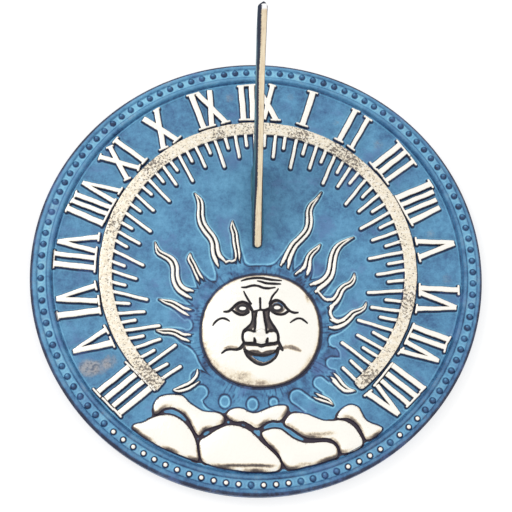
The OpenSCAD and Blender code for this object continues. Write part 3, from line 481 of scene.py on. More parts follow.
def carve(x, y):
    """Height and marks of the upper face at each point.
    edge is the depth in mm inside polished relief; the next mark is the same depth with the relief moved
    down and right, which paints a shadow down and right of it; ink is the depth inside an engraved line;
    tone is how light the patina is, painted highlights and painted shade included; the dark mark is how
    dark the metal and patina are, from soot and from painted shade; pits is how pitted and worn how far
    the patina is rubbed away."""
    r, rim = np.hypot(x, y), np.hypot(*from_border(x, y))
    cx, cy = hand_cut(x, y)
    flat, ring, flame_body = flat_relief(cx, cy)
    cloud, next_cloud = cloud_depth(cx, cy)
    edge = np.maximum(flat, cloud)
    # painted shadow: the relief's depth again with the relief moved down and right, so its dark edge reaches
    # further that way
    lx, ly = cx - painted_shadow_shift, cy + painted_shadow_shift
    painted_shadow = np.maximum(flat_relief(lx, ly)[0], cloud_depth(lx, ly)[0])
    sun, turn = np.hypot(cx - sun_x, cy - sun_y), np.arctan2(cy - sun_y, cx - sun_x)
    corona = corona_depth(cx, cy, sun, flame_body)
    low = step(corona, -0.4, 0.6)
    # hair-like cuts stream out from the face: two sines round it, bent by a slow sway, ragged outside
    sway = 2.2 * np.sin(5 * turn + 0.3 * sun) + 1.4 * np.sin(11 * turn - 0.45 * sun + 1)
    hair = 0.5 + 0.3 * np.sin(83 * turn + sway) + 0.3 * np.sin(131 * turn - 1.3 * sway + 2)
    hair_end = 39.5 + 2.5 * np.sin(13 * turn + 2) + 1.5 * np.sin(29 * turn)
    hair = step(hair, 0.45, 1.0) * (0.55 + 0.45 * np.sin(9 * turn + 1))
    hair *= step(sun, hair_end + 1.5, hair_end - 1.5)
    # height
    z = field_z + corona_h * low - hair_cut * hair * low
    top = relief_h * step(flat, -0.5, 0.08) - crown * np.exp(-np.maximum(flat, 0) / 0.5)
    z = np.maximum(z, field_z + top * step(flat, -0.55, -0.35))
    pillow = cloud_wall * step(cloud, -0.6, 0.1) + cloud_dome * (1 - np.exp(-np.maximum(cloud, 0) / 3.5))
    z = np.maximum(z, field_z + pillow)
    z = np.where(rim > 113.6, np.maximum(border_height(x, y), np.where(rim < patch_r, z, 0)), z)
    # tone: a painted highlight as a light line a little out from the relief's foot and round the corona's
    # edge, painted shade as a dark band just inside the corona's edge, and dark patina beside the face
    tone = 0.5 + 0.16 * bump(edge, -1.25, 0.4) - 0.04 * step(r, 88, 100)
    tone += (0.38 * bump(corona, -0.8, 0.42) - 0.08 * low - 0.34 * bump(corona, 0.25, 0.45)) * (edge < -0.6)
    tone += (0.1 * np.sin(17 * turn + sway) * step(sun, 34, 36) * step(sun, 41, 38) - 0.22 * hair) * low
    tone *= 1 - 0.85 * step(sun - sun_edge(turn), 1.5, 0.9)
    tone *= 1 - 0.6 * step(cloud, -1.5, -0.8) * step(rim, 116, 115)
    tone = border_tone(tone, x, y, rim)
    # the beads' bright tops are polished relief too
    dx, dy, direction = bead_place(x, y)
    away = np.hypot(dx, dy)
    bright = (direction > bright_from) & (direction < bright_to)
    for dull in dull_beads:
        bright &= abs(direction - dull) > 1
    edge = np.where((rim > 116) & bright, 1.05 - away, np.where(rim > 116, -5, edge))
    painted_shadow = np.where(rim > 113.2, np.minimum(painted_shadow, edge), painted_shadow)
    # dark marks: soot in the seams and thinly on the ring; painted shade along the clouds' lower edges,
    # broken up by a sine, and in three bands low on three clouds
    below, _ = cloud_depth(cx + 0.25, cy - 1.1)
    shade_breakup = 0.55 + 0.45 * np.sin(0.35 * cx + 2 * np.sin(0.21 * cy))
    soot_and_painted_shade = 0.8 * step(below, 1.5, -0.7) * (cloud > -0.5) * shade_breakup + 0.17 * step(ring, -0.4, 0.2)
    painted_shade_bands = 0.75 * bump(cy, -110.7 - 0.0012 * (cx + 8) ** 2, 0.95) * step(abs(cx + 9), 21, 13)
    painted_shade_bands += 0.4 * bump(cy, -94 + 0.05 * (cx - 32), 1.2) * step(abs(cx - 32), 12, 6)
    painted_shade_bands += 0.3 * bump(cy, -110, 1) * step(abs(cx - 30), 12, 6)
    both = step(cloud, -1.5, -0.9) * step(next_cloud, -6.5, -4.5)
    seam = np.maximum(step(cloud + next_cloud, -4, -2.9), both) * step(cloud, 0.1, -0.1)
    soot_and_painted_shade = np.maximum.reduce([soot_and_painted_shade, painted_shade_bands * (cloud > 0), 0.95 * seam])
    pits = np.where(ring > -1, 0.78, 0.14) + 0.6 * step(abs(cloud - 0.3), 0.9, 0.2)
    pits += mounds(cx, cy, pitted) * (ring > -2)
    worn = 0.42 * step(rim, 115.8, 116.6) * step(away, 1.6, 2.2) + 0.12 * step(r, 90, 95) * (rim < 114)
    for px, py, size, much in sanded:
        worn += much * np.exp(-(np.hypot(cx - px, cy - py) / size) ** 4)
    return z, {"edge": edge, "painted_shadow": painted_shadow, "ink": np.full(x.shape, -5.0), "tone": tone,
               "soot_and_painted_shade": np.clip(soot_and_painted_shade, 0, 1), "pits": np.clip(pits, 0, 1.1), "worn": worn}


def mesh_piece(name, verts, faces, marks, sharp=80):
    """A named object from points in mm and lists of faces, smooth but for edges sharper than the angle,
    with a number per point for each mark."""
    mesh = bpy.data.meshes.new(name)
    mesh.from_pydata((np.asarray(verts, float) / 1000).tolist(), [], faces)
    mesh.polygons.foreach_set("use_smooth", np.ones(len(mesh.polygons), bool))
    mesh.set_sharp_from_angle(angle=math.radians(sharp))
    for key, values in marks.items():
        layer = mesh.attributes.new(key, "FLOAT", "POINT")
        layer.data.foreach_set("value", np.ascontiguousarray(values, np.float32))
    mesh.validate()
    obj = bpy.data.objects.new(name, mesh)
    bpy.context.scene.collection.objects.link(obj)
    return obj


def grid_faces(rows, cols, wrap=False):
    """The quads of a grid of points, wound to face up where columns run anticlockwise and rows outwards."""
    at = np.arange(rows * cols).reshape(rows, cols)
    nxt = np.roll(at, -1, 1) if wrap else at[:, 1:]
    at = at if wrap else at[:, :-1]
    return np.stack([at[:-1], at[1:], nxt[1:], nxt[:-1]], -1).reshape(-1, 4)


under_z = 3.0


def sector_patch(name, r_in, r_out, a_from, a_to, rows, cols):
    """A patch between two radii and two directions, closed by walls and a flat underside.
    The columns of the underside run straight from the inner wall to the outer one."""
    r = np.linspace(r_in, r_out, rows)[:, None]
    a = np.radians(np.linspace(a_from, a_to, cols))[None, :]
    x, y = (r * np.cos(a)).ravel(), (r * np.sin(a)).ravel()
    z, marks = carve(x, y)
    n = rows * cols
    ends = np.r_[0:cols, n - cols:n]
    verts = np.vstack([np.stack([x, y, z], 1), np.stack([x[ends], y[ends], np.full(2 * cols, under_z)], 1)])
    faces = grid_faces(rows, cols).tolist()
    j = np.arange(cols - 1)
    top_in, top_out, low_in, low_out = j, n - cols + j, n + j, n + cols + j
    for wall in ([top_in, top_in + 1, low_in + 1, low_in], [top_out, low_out, low_out + 1, top_out + 1],
                 [low_in, low_in + 1, low_out + 1, low_out]):
        faces += np.stack(wall, 1).tolist()
    side = np.arange(rows) * cols
    faces.append([n, n + cols] + side[::-1].tolist())
    faces.append((side + cols - 1).tolist() + [n + 2 * cols - 1, n + cols - 1])
    return mesh_piece(name, verts, faces, {k: np.concatenate([v, v[ends]]) for k, v in marks.items()})


def disc_points(n, r):
    """A square grid pressed into a disc: x = u * sqrt(1 - v*v/2), y = v * sqrt(1 - u*u/2)."""
    v, u = np.meshgrid(np.linspace(-1, 1, n), np.linspace(-1, 1, n), indexing="ij")
    return (r * u * np.sqrt(1 - v * v / 2)).ravel(), (r * v * np.sqrt(1 - u * u / 2)).ravel()


def disc_faces(n):
    """The disc's quads, facing up, and the numbers of the points round its edge."""
    at = np.arange(n * n).reshape(n, n)
    edge = np.concatenate([at[0, :-1], at[:-1, -1], at[-1, :0:-1], at[:0:-1, 0]])
    return grid_faces(n, n)[:, [0, 3, 2, 1]], edge


def disc_patch(name, middle_x, middle_y, r, n, surface, low):
    """A round patch with walls down to its flat underside, which is a fan about its middle."""
    x, y = disc_points(n, r)
    x, y = x + middle_x, y + middle_y
    z, marks = surface(x, y)
    quads, edge = disc_faces(n)
    m = len(edge)
    verts = np.vstack([np.stack([x, y, z], 1), np.stack([x[edge], y[edge], np.full(m, low)], 1),
                       [[middle_x, middle_y, low]]])
    k = np.arange(m)
    q = (k + 1) % m
    faces = quads.tolist() + np.stack([edge[k], n * n + k, n * n + q, edge[q]], 1).tolist()
    faces += np.stack([n * n + q, n * n + k, np.full(m, n * n + m)], 1).tolist()
    return mesh_piece(name, verts, faces, {c: np.concatenate([v, v[edge], v[:1]]) for c, v in marks.items()})


def linear(hex_code):
    """A colour from its sRGB hex code as linear values with full alpha."""
    c = np.array([int(hex_code[i:i + 2], 16) for i in (1, 3, 5)]) / 255
    return tuple(np.where(c <= 0.04045, c / 12.92, ((c + 0.055) / 1.055) ** 2.4)) + (1.0,)


def fill(node, inputs):
    """Gives each socket of a node its value, or joins another node's socket to it."""
    for key, value in inputs.items():
        if isinstance(value, bpy.types.NodeSocket):
            node.id_data.links.new(value, node.inputs[key])
        else:
            node.inputs[key].default_value = value


def add(tree, kind, inputs=None, **settings):
    """A new node with its options set and its sockets filled."""
    node = tree.nodes.new(kind)
    for key, value in settings.items():
        setattr(node, key, value)
    fill(node, inputs or {})
    return node


def new_material(name):
    """An empty material with its output and one principled shader."""
    mat = bpy.data.materials.new(name)
    mat.use_nodes = True
    tree = mat.node_tree
    tree.nodes.clear()
    shader = add(tree, "ShaderNodeBsdfPrincipled")
    add(tree, "ShaderNodeOutputMaterial", {0: shader.outputs[0]})
    return mat, tree, shader


def mark(tree, name):
    """The number that was stored at each point of the mesh under this name."""
    return add(tree, "ShaderNodeAttribute", attribute_name=name).outputs["Fac"]


def work(what, *values):
    """One step of arithmetic on sockets and plain numbers, the first of which is a socket."""
    return add(values[0].id_data, "ShaderNodeMath", dict(enumerate(values)), operation=what).outputs[0]


def times(a, b):
    return work("MULTIPLY", a, b)


def larger(a, b):
    return work("MAXIMUM", a, b)


def plus(a, b, share=None):
    """a with b, or a share of b, added to it."""
    return work("ADD", a, b if share is None else times(b, share))


def noise(tree, size, detail=3, rough=0.6, offset=0.0, stretch=(1, 1, 1)):
    """Noise whose lumps are about size millimetres across, centred on 0, from -0.5 to 0.5."""
    place = add(tree, "ShaderNodeTexCoord").outputs["Object"]
    place = add(tree, "ShaderNodeMapping", {"Vector": place, "Location": (offset, offset, 0),
                                            "Scale": tuple(1000 / size * s for s in stretch)}).outputs[0]
    value = add(tree, "ShaderNodeTexNoise", {"Vector": place, "Scale": 1.0, "Detail": detail,
                                             "Roughness": rough}).outputs["Fac"]
    return plus(value, -0.5)


def fade(value, low, high, to_low=0.0, to_high=1.0):
    """A smooth change from to_low to to_high as value goes from low to high."""
    return add(value.id_data, "ShaderNodeMapRange", {"Value": value, "From Min": low, "From Max": high,
                                                     "To Min": to_low, "To Max": to_high},
               interpolation_type="SMOOTHSTEP").outputs[0]


def blend(amount, a, b):
    """Colour a with colour b laid over it by amount."""
    return add(amount.id_data, "ShaderNodeMix", {0: amount, 6: a, 7: b}, data_type="RGBA").outputs[2]


def ramp(value, stops):
    """Colours along a value: each stop is its place and its hex code."""
    new = add(value.id_data, "ShaderNodeValToRGB", {0: value})
    line = new.color_ramp.elements
    while len(line) < len(stops):
        line.new(0.5)
    for spot, (place, code) in zip(line, stops):
        spot.position = place
        spot.color = linear(code)
    return new.outputs[0]


def dents(height, strength, deep):
    """A rough skin from a height: deep is how far, in metres, a height of 1 stands out."""
    return add(height.id_data, "ShaderNodeBump", {"Strength": strength, "Distance": deep,
                                                  "Height": height}).outputs[0]


patina_stops = [(0.0, "#141D3A"), (0.18, "#223E64"), (0.34, "#3A6994"), (0.5, "#528DB4"), (0.68, "#67A6CB"),
                (0.9, "#8CCCE6")]
# Colours of the metal, from bare and bright through the grey-brown and black of soot and painted shade.
metal_stops = [(0.0, "#FBF8F0"), (0.2, "#F2E6CF"), (0.42, "#B0A08E"), (0.65, "#615752"), (1.0, "#2A2329")]


def cast_brass():
    """Yellow brass cast in sand. Its blue patina is matt and mottled; polishing cut through it to pale
    bright metal on the raised work, with black left in pits and corners. Painted highlights and painted
    shade from the marks are laid into both."""
    mat, tree, shader = new_material("cast brass, blue patina, relief rubbed bright")
    fine, small = noise(tree, 0.9, 2), noise(tree, 2.6, 3, offset=3.1)
    middle, broad = noise(tree, 9, 4, offset=7.7), noise(tree, 34, 3, offset=1.9)
    grit = noise(tree, 1.1, 3, 0.8, offset=9.4)
    edge, painted_shadow = plus(mark(tree, "edge"), fine, 0.3), plus(mark(tree, "painted_shadow"), fine, 0.3)
    ink, black = plus(mark(tree, "ink"), fine, 0.2), mark(tree, "soot_and_painted_shade")
    # patina: mottled, dark beside the relief with a painted shadow down and to the right of it, painted
    # highlights and shade from its tone, violet in places, dark with soot in the seams and with painted
    # shade on the clouds, rubbed to grey
    tone = mark(tree, "tone")
    for layer, share in ((fine, 0.2), (small, 0.36), (middle, 0.5), (broad, 0.36)):
        tone = plus(tone, layer, share)
    patina = ramp(times(tone, fade(larger(edge, painted_shadow), -0.85, -0.42, 1.0, 0.16)), patina_stops)
    violet = fade(plus(noise(tree, 17, 4, offset=12.3), small, 0.3), 0.03, 0.2, 0.0, 0.5)
    patina = blend(violet, patina, linear("#51699F"))
    # dark purple-brown over the patina where the dark mark is: soot in the seams and painted shade on the
    # clouds
    patina = blend(fade(plus(black, small), 0.35, 0.75), patina, linear("#2F2436"))
    grey = blend(fade(plus(grit, small), -0.12, 0.2), linear("#A9A6A6"), linear("#5C6373"))
    rub = plus(times(plus(grit, middle), 0.55), mark(tree, "worn"), 0.42)
    patina = blend(fade(rub, 0.14, 0.6, 0.0, 0.9), patina, grey)
    # bare metal: pale, sooty along its edges, dark with soot and painted shade where it is marked so,
    # specked with pits
    pits = plus(mark(tree, "pits"), -0.9)
    speck = fade(plus(noise(tree, 1.25, 3, 0.8, offset=5.3), pits, 0.33), 0.03, 0.1)
    soot_and_painted_shade = times(plus(black, plus(times(small, 0.6), grit, 0.5)), fade(black, 0.02, 0.2))
    soot_and_painted_shade = larger(soot_and_painted_shade, fade(edge, 0.2, 0.0, 0.0, 0.35))
    metal = ramp(larger(soot_and_painted_shade, times(speck, 0.55)), metal_stops)
    metal = blend(times(speck, 0.8), metal, linear("#7B736C"))
    bare = fade(edge, -0.16, 0.1)
    colour = blend(fade(ink, -0.3, 0.02), blend(bare, patina, metal), linear("#1E1920"))
    bright = times(bare, fade(soot_and_painted_shade, 0.6, 0.2))
    grain = plus(plus(times(fine, 0.6), small, 1.4), speck, -0.5)
    fill(shader, {"Base Color": colour, "Metallic": times(bright, 0.55),
                  "Roughness": fade(bright, 0.0, 1.0, 0.52, 0.38), "Normal": dents(grain, 0.55, 0.0003)})
    return mat


def plate_piece(obj, metal):
    """One part of the dial plate: its metal, and what it stands for."""
    obj.data.materials.append(metal)
    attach(obj, "root")
    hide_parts("dial_plate")


plate_brass = cast_brass()
inner_r, band_r = 58.0, 89.9
foot_from, foot_to = 232.5, 308.0
half_way = 90.25
plate_piece(disc_patch("dial_field", 0, 0, r=inner_r, n=300, surface=carve, low=under_z), plate_brass)
# name, inner and outer radius, two directions, rows and columns
for name, *where in (
        ("hour_band_right", inner_r, band_r, foot_to - 360, half_way, 112, 820),
        ("hour_band_left", inner_r, band_r, half_way, foot_from, 112, 820),
        ("numeral_band_right", band_r, patch_r, foot_to - 360, half_way, 92, 1040),
        ("numeral_band_left", band_r, patch_r, half_way, foot_from, 92, 1040),
        ("cloud_bank", inner_r, patch_r, foot_from, foot_to, 190, 480)):
    plate_piece(sector_patch(name, *where), plate_brass)


def rim_ring(name, cols):
    """The border as one closed ring: rows run out over the top, down the edge, under the foot and
    back inside, and every row is a full circle."""
    top_r = np.linspace(patch_r, 126.6, 34)
    # radius and height of each further row
    outside = [(126.9, 6.9), (plate_r, 6.6), (plate_r, 6.2), (plate_r, 1.1), (126.7, 0.4), (126, 0),
               (120.4, 0), (120, 0.4), (120, 2.6), (patch_r, 2.6)]
    a = np.radians(np.arange(cols) * 360 / cols)[None, :]
    r = np.r_[top_r, [p[0] for p in outside]][:, None]
    x, y = r * np.cos(a), r * np.sin(a)
    z, marks = carve(x.ravel(), y.ravel())
    z = z.reshape(x.shape)
    z[len(top_r):] = [[p[1]] for p in outside]
    faces = grid_faces(len(r) + 1, cols, wrap=True) % x.size
    under = np.arange(x.size) >= (len(top_r) + 2) * cols
    marks["tone"] = np.where(under, 0.22, marks["tone"])
    return mesh_piece(name, np.stack([x.ravel(), y.ravel(), z.ravel()], 1), faces.tolist(), marks)


plate_piece(rim_ring("bead_border", bead_count * 19), plate_brass)

# ------------------------------------------------------------------ sun's face
# The face is domed and cast with the plate; brows, eyes, nose and mouth are modelled on it and the
# wrinkles are engraved. It is rubbed bright, with black left in every line, darker towards the edge, and
# with painted shade in its hollows.
face_edge_h, face_dome_h, face_sink = 1.3, 2.6, 0.4
wrinkle_cut, hollow_cut, mouth_cut, tongue_h = 0.5, 0.3, 0.7, 0.4
wrinkles = [
    [(-8.8, -7.9, 0.3), (-6.4, -7, 0.8), (-3.9, -6.5, 1), (-0.5, -6.2, 1), (2.9, -6.3, 1.1), (7.1, -7, 1.1),
     (10.5, -7.5, 0.8), (13.7, -7.7, 0.3)],
    [(0.2, -8.1, 0.3), (2.4, -8.5, 0.8), (4.5, -9.2, 1), (7.9, -9.6, 1.1), (11.3, -9.8, 0.9),
     (13.2, -9.8, 0.3)],
    [(-8.7, -11.8, 0.3), (-6.4, -11.9, 1), (-3.9, -11.2, 1), (-1.4, -10.8, 0.9), (1.1, -11.2, 0.9),
     (3.7, -12.2, 1.1), (6.2, -12.5, 1), (8.3, -12.3, 0.7), (10.1, -12, 0.3)],
    [(-7.5, -14.5, 0.4), (-6.5, -16.9, 0.8), (-5.2, -19.2, 0.8), (-3.5, -21.8, 0.9)],
    [(11.8, -12.7, 0.3), (10.3, -14.8, 0.6), (8.5, -17.1, 0.7), (7.5, -19.2, 0.7), (6.7, -21.6, 0.8)],
    [(-24.6, -33.8, 0.3), (-23.6, -32.2, 0.8), (-21.7, -30.6, 0.8), (-19.4, -29.9, 0.8),
     (-17.3, -30.5, 0.8), (-15.5, -31.8, 0.3)],
    [(18.1, -32.4, 0.3), (20.2, -30.9, 0.7), (22.3, -30, 0.8), (24.4, -30.2, 0.8), (26, -31.2, 0.8),
     (27.5, -32.5, 0.4)],
    [(1.5, -18.4, 0.9), (1.5, -20.2, 1), (1.6, -22.5, 0.7), (1.7, -24.9, 0.9)],
    [(-1.9, -26.2, 0.9), (-0.3, -25.9, 0.8), (1.7, -25.4, 0.9), (3.9, -25.4, 1.1), (6.1, -24.5, 1.4)],
    # lids
    [(-18.4, -26.1, 0.6), (-16, -26, 1.1), (-14.1, -24.5, 1.2), (-12.2, -22.4, 1.3), (-10.2, -21, 1.3),
     (-8, -20.6, 1.2), (-5.8, -21.4, 1.2), (-4.1, -23.3, 1.4), (-2.9, -25.6, 1.2)],
    [(-14.1, -25.2, 0.7), (-11.3, -27.3, 1.1), (-9.1, -28.1, 0.9), (-6.9, -27.7, 1.1), (-5, -26.3, 1.2)],
    [(6.8, -24.1, 1.2), (7.8, -20.9, 1.3), (10.3, -19.6, 1.3), (12.6, -20.1, 1.2), (14.5, -21.6, 1.2),
     (16.4, -24.1, 1.2), (18.3, -25.8, 1.1), (20.5, -26.6, 1), (22.6, -26.5, 0.6)],
    [(7.2, -25, 0.9), (8.9, -26.6, 0.9), (10.8, -27.6, 0.9), (13, -27.9, 1.1), (15.2, -27.2, 1.1),
     (17.2, -25.7, 0.9)],
    # nose
    [(-0.3, -26.4, 0.7), (-0.9, -28.4, 0.9), (-1.3, -30.4, 0.9), (-1.4, -32.9, 0.9), (-1.6, -36.9, 0.9)],
    [(-2.9, -26, 0.7), (-2.8, -29.2, 0.7), (-3, -31.2, 0.6), (-3.8, -33.4, 0.6), (-5.7, -35.6, 0.9),
     (-7.5, -37.4, 1.1), (-8.2, -39.7, 0.9), (-8.2, -42, 0.9), (-7.5, -43.9, 1.1)],
    [(3.5, -25.8, 0.9), (3.8, -28.4, 1.1), (4.1, -31.2, 1.1), (4.6, -34.1, 1.1), (4.8, -38.1, 0.9)],
    [(6.6, -25.4, 0.7), (6.3, -28.3, 0.7), (6.8, -30.6, 0.8), (8, -33.4, 0.9), (9.6, -35.8, 1.1),
     (10.9, -38.1, 1.1), (11.4, -40.5, 1.1), (11.4, -43.1, 1.2), (12.2, -45.3, 1.4), (13.3, -47.6, 1.2),
     (13.7, -48.3, 0.5)],
    [(-7.5, -38.1, 0.7), (-5.9, -37, 0.8), (-3.9, -37, 0.8), (-1.5, -37.8, 0.7)],
    [(4.8, -38.7, 0.7), (6.2, -37.5, 0.8), (8.2, -37, 0.9), (10.1, -37.8, 0.8)],
    [(-7.8, -44, 0.9), (-5.3, -44.4, 1.2), (-2.6, -44.7, 1.6), (-0.4, -45, 1.2), (2, -45.8, 1.9),
     (4.5, -45, 1.4), (6.4, -44.7, 1.4), (8.9, -44.5, 1.2), (11.4, -43.7, 1.2)],
    [(-1.8, -41.6, 0.7), (-1.6, -43.3, 1.4), (-1.5, -44.7, 1.4)],
    [(5.5, -41.8, 0.7), (5.2, -43.2, 1.4), (5.1, -44.7, 1.4)],
    # mouth
    [(-7.5, -47.6, 0.7), (-5.9, -48.7, 1.1), (-3.2, -50, 1.1), (-0.4, -50.7, 1.1), (3.7, -50.9, 1.2),
     (7.2, -50.4, 1.2), (9.4, -49.3, 1.1), (11.2, -46.7, 0.9)],
    [(-7.1, -48.4, 0.9), (-5.9, -50.9, 1), (-3.7, -53.4, 0.9), (-1, -55.3, 0.9), (2.3, -56.1, 1),
     (5.5, -55.4, 0.9), (8.6, -53.4, 0.9), (10.5, -50.9, 1), (11.4, -47, 1)],
    [(-19.6, -49.5, 0.5), (-17.9, -48.2, 0.9), (-15.5, -47.6, 0.9), (-11.6, -47.8, 1.1), (-9.4, -46.7, 1.4),
     (-7.8, -44.4, 1.2)]]
wrinkles = [smooth(w, 3) for w in wrinkles]
# Hollows, grey-brown with patina and with painted shade: beside the nose, under it, at the corners and inside
# the mouth.
hollows = [
    [(-1.7, -26.9, 1.9), (-2, -29.8, 1.4), (-2.3, -32.3, 1.4), (-3, -34.6, 2.2), (-4.2, -36.3, 2.6)],
    [(5.1, -26.3, 2.1), (5.1, -29.2, 1.9), (5.6, -31.7, 2.1), (6.3, -34.3, 2.8), (7.5, -36.6, 3.5)],
    [(-7.3, -45, 1.2), (-3.2, -45.4, 1.4), (2.1, -45.7, 1.6), (6.4, -45.4, 1.4), (10.6, -44.7, 1.4)],
    [(-9.2, -47, 1.6), (-7.8, -45.6, 1.9), (-7, -47.8, 1.4)],
    [(11.9, -45.3, 1.4), (12.5, -47, 1.9), (11.1, -47.8, 1.2)],
    [(-5.4, -48.7, 0.7), (-2.6, -48.8, 1.5), (-0.4, -49.2, 1.9), (2, -49.9, 1), (4.5, -49.5, 1.9),
     (7.2, -48.8, 1.6), (9.2, -48.2, 0.7)]]
inside_mouth = [
    [(-5.6, -49.8, 1.6), (-3.2, -51.8, 3.7), (-0.4, -52.9, 5.3), (3.1, -53.4, 5.5), (6.4, -52.6, 5.3),
     (9.1, -50.6, 3.2), (10.5, -48.7, 1.6)]]
# Grey patches beside the corners of the mouth.
mouth_side_greys = [
    [(13.4, -47.2, 1.4), (15.6, -46.3, 2.2), (18.8, -46.4, 2.6), (21, -47.2, 2.4), (23.2, -48.2, 1.3)],
    [(-18.2, -46.9, 0.7), (-16.3, -46.5, 1.4), (-14.1, -46.4, 1.4), (-11.6, -46.6, 0.9)]]
left_in_blue = [
    [(-2.6, -51.6, 1.3), (0.1, -52.6, 2.7), (3.1, -53.2, 3.5), (5.8, -52.4, 3.2), (8.2, -51, 2.3),
     (9.7, -49.8, 1.2)],
    [(8.4, -22.4, 0.7), (9.8, -21.4, 0.9), (11.7, -21.1, 1.1), (13.4, -22.1, 1.1), (14.6, -23.5, 0.8),
     (14.7, -24.7, 0.5)]]
# Full forms and scuffs, each a middle, a reach across and up, and a rise or a darkness.
cheeks_and_brows = [(-15.5, -37, 8, 7.5, 0.55), (19.5, -37, 8, 7.5, 0.55), (2, -63, 8, 5, 0.5),
                    (-8.5, -24.3, 6.5, 4.5, -0.55), (12, -23.8, 6.5, 4.5, -0.55), (-9.5, -17.3, 6, 2, 0.5),
                    (13.5, -16.3, 6, 2, 0.5)]
balls = [(-8.2, -24.4, 4.6, 3.3, 0.75), (11, -24, 4.6, 3.3, 0.75), (1.9, -40.3, 3.6, 3.9, 1.2),
         (-4.5, -40.9, 3.4, 3.3, 1), (8, -41, 3.2, 3.2, 1), (-3, -47.4, 5.2, 1.9, 0.7),
         (6.5, -47.2, 5.2, 1.9, 0.7)]
eyes = balls[:2]
scuffs = [(-8, -62, 5, 2.4, 0.26), (-5, -65.5, 7, 1.6, 0.1), (2, -66, 3.4, 1.6, 0.26),
          (28.5, -16.5, 2, 4, 0.34), (-14, -58, 6, 3, 0.05), (29, -56, 3, 5, 0.1)]
face_pits = [(28.5, -16.5, 2.5, 4, 0.6), (-8, -62, 6, 4, 0.5)]


def oval(x, y, mx, my, wide, high):
    """1 at the middle of an oval, 0 on its outline, negative outside."""
    return 1 - np.hypot((x - mx) / wide, (y - my) / high)


def face(x, y):
    """Height and marks of the sun's face. Full forms are bells or half ovals added to a dome, whose
    rise is the 0.8th power of 1 - s*s."""
    r, turn = np.hypot(x - sun_x, y - sun_y), np.arctan2(y - sun_y, x - sun_x)
    outline = sun_edge(turn)
    cx, cy = hand_cut(x, y)
    dome = face_dome_h * (1 - np.clip(r / outline, 0, 1) ** 2) ** 0.8
    z = field_z - face_sink + (face_sink + face_edge_h) * step(outline - r, -0.3, 0.4) + dome
    z += mounds(cx, cy, cheeks_and_brows)
    for mx, my, wide, high, rise in balls:
        z += rise * np.sqrt(np.clip(1 - ((cx - mx) / wide) ** 2 - ((cy - my) / high) ** 2, 0, 1))
    bridge = step(cy, -41, -38) * step(cy, -23.5, -27) * (0.7 + 0.9 * step(cy, -26, -38))
    z += bridge * np.exp(-(abs(cx - 1.6) / (2 + 0.9 * step(cy, -30, -38))) ** 4)
    ink = strand_depth(cx, cy, wrinkles)[0] + 0.12
    hollow, inside, blue, mouth_side_grey = (strand_depth(cx, cy, strands)[0] for strands in
                                    (hollows, inside_mouth, left_in_blue, mouth_side_greys))
    z -= wrinkle_cut * step(ink, -0.35, 0.3) + hollow_cut * step(hollow, -0.4, 0.4)
    z += tongue_h * step(blue, 0, 1.2) - mouth_cut * step(inside, 0, 0.8)
    edge = np.where(blue > 0.1, -1.5, outline - 0.35 - r)
    # dark marks: darker towards the edge, by different amounts round it; in scuffs and grey beside the
    # mouth's corners; grey-brown with painted shade in the hollows; and round the pupils
    fades_over = 1.7 + 1.2 * np.cos(turn + 2)
    soot_and_painted_shade = (0.3 + 0.08 * np.sin(3 * turn + 2.6)) * np.exp(-np.maximum(outline - 0.4 - r, 0) / fades_over)
    soot_and_painted_shade += (0.4 + 0.25 * np.cos(turn + 0.5)) * step(outline - r, 1.3 + 0.3 * np.cos(turn + 0.5), 0.7)
    soot_and_painted_shade += mounds(cx, cy, scuffs)
    soot_and_painted_shade = np.maximum.reduce([soot_and_painted_shade, 0.52 * step(mouth_side_grey, -0.8, 0.8),
                              0.82 * step(np.maximum(hollow, inside), -0.3, 0.4)])
    for ex, ey, *_ in eyes:
        pupil, lid, socket = (oval(cx, cy, ex, ey, *size) for size in ((2, 1.1), (3.2, 2.35), (4.4, 3.3)))
        ink = np.maximum(ink, np.minimum(2.5 * lid, -1.6 * pupil))
        soot_and_painted_shade = np.maximum(soot_and_painted_shade, 0.66 * step(socket, -0.05, 0.08) * step(pupil, 0.05, -0.05))
    ink = np.where(blue > 0.25, np.minimum(ink, -0.3), ink)
    soot_and_painted_shade = soot_and_painted_shade * step(blue, 0.3, -0.1)
    pits = 0.16 + mounds(cx, cy, face_pits) + 0.6 * np.exp(-np.maximum(outline - r, 0) / fades_over)
    tone = 0.12 + 0.3 * step(blue, 0, 0.7)
    return z, {"edge": edge, "painted_shadow": np.full(x.shape, -5.0), "ink": ink, "tone": tone,
               "soot_and_painted_shade": np.clip(soot_and_painted_shade, 0, 1), "pits": pits, "worn": np.zeros(x.shape)}


plate_piece(disc_patch("sun_face", sun_x, sun_y, r=sun_r + 1.3, n=306, surface=face, low=4.6), plate_brass)

# ------------------------------------------------------------------ dial plate, underside
# The back of the casting was left as it came from the sand: a shallow hollow inside the ring that
# the dial stands on, rough, brown with age, with spatters of patina near the foot.
hollow_r, hollow_z, back_top = 120.1, 2.5, 2.9


def back_mesh():
    """A thin disc under the patches: its lower face is the ceiling of the hollow, uneven by the
    product of two sines whose phases sway."""
    n = 110
    x, y = disc_points(n, hollow_r)
    rough = 0.05 * np.sin(1.3 * x + 2.1 * np.sin(0.7 * y)) * np.sin(1.1 * y + 1.7 * np.sin(0.6 * x))
    quads, edge = disc_faces(n)
    after = np.roll(edge, -1)
    over = n * n
    verts = np.vstack([np.stack([x, y, hollow_z + 0.05 + rough], 1),
                       np.stack([x, y, np.full(over, back_top)], 1)])
    faces = quads[:, ::-1].tolist() + (quads + over).tolist()
    return verts, faces + np.stack([edge, after, after + over, edge + over], 1).tolist()


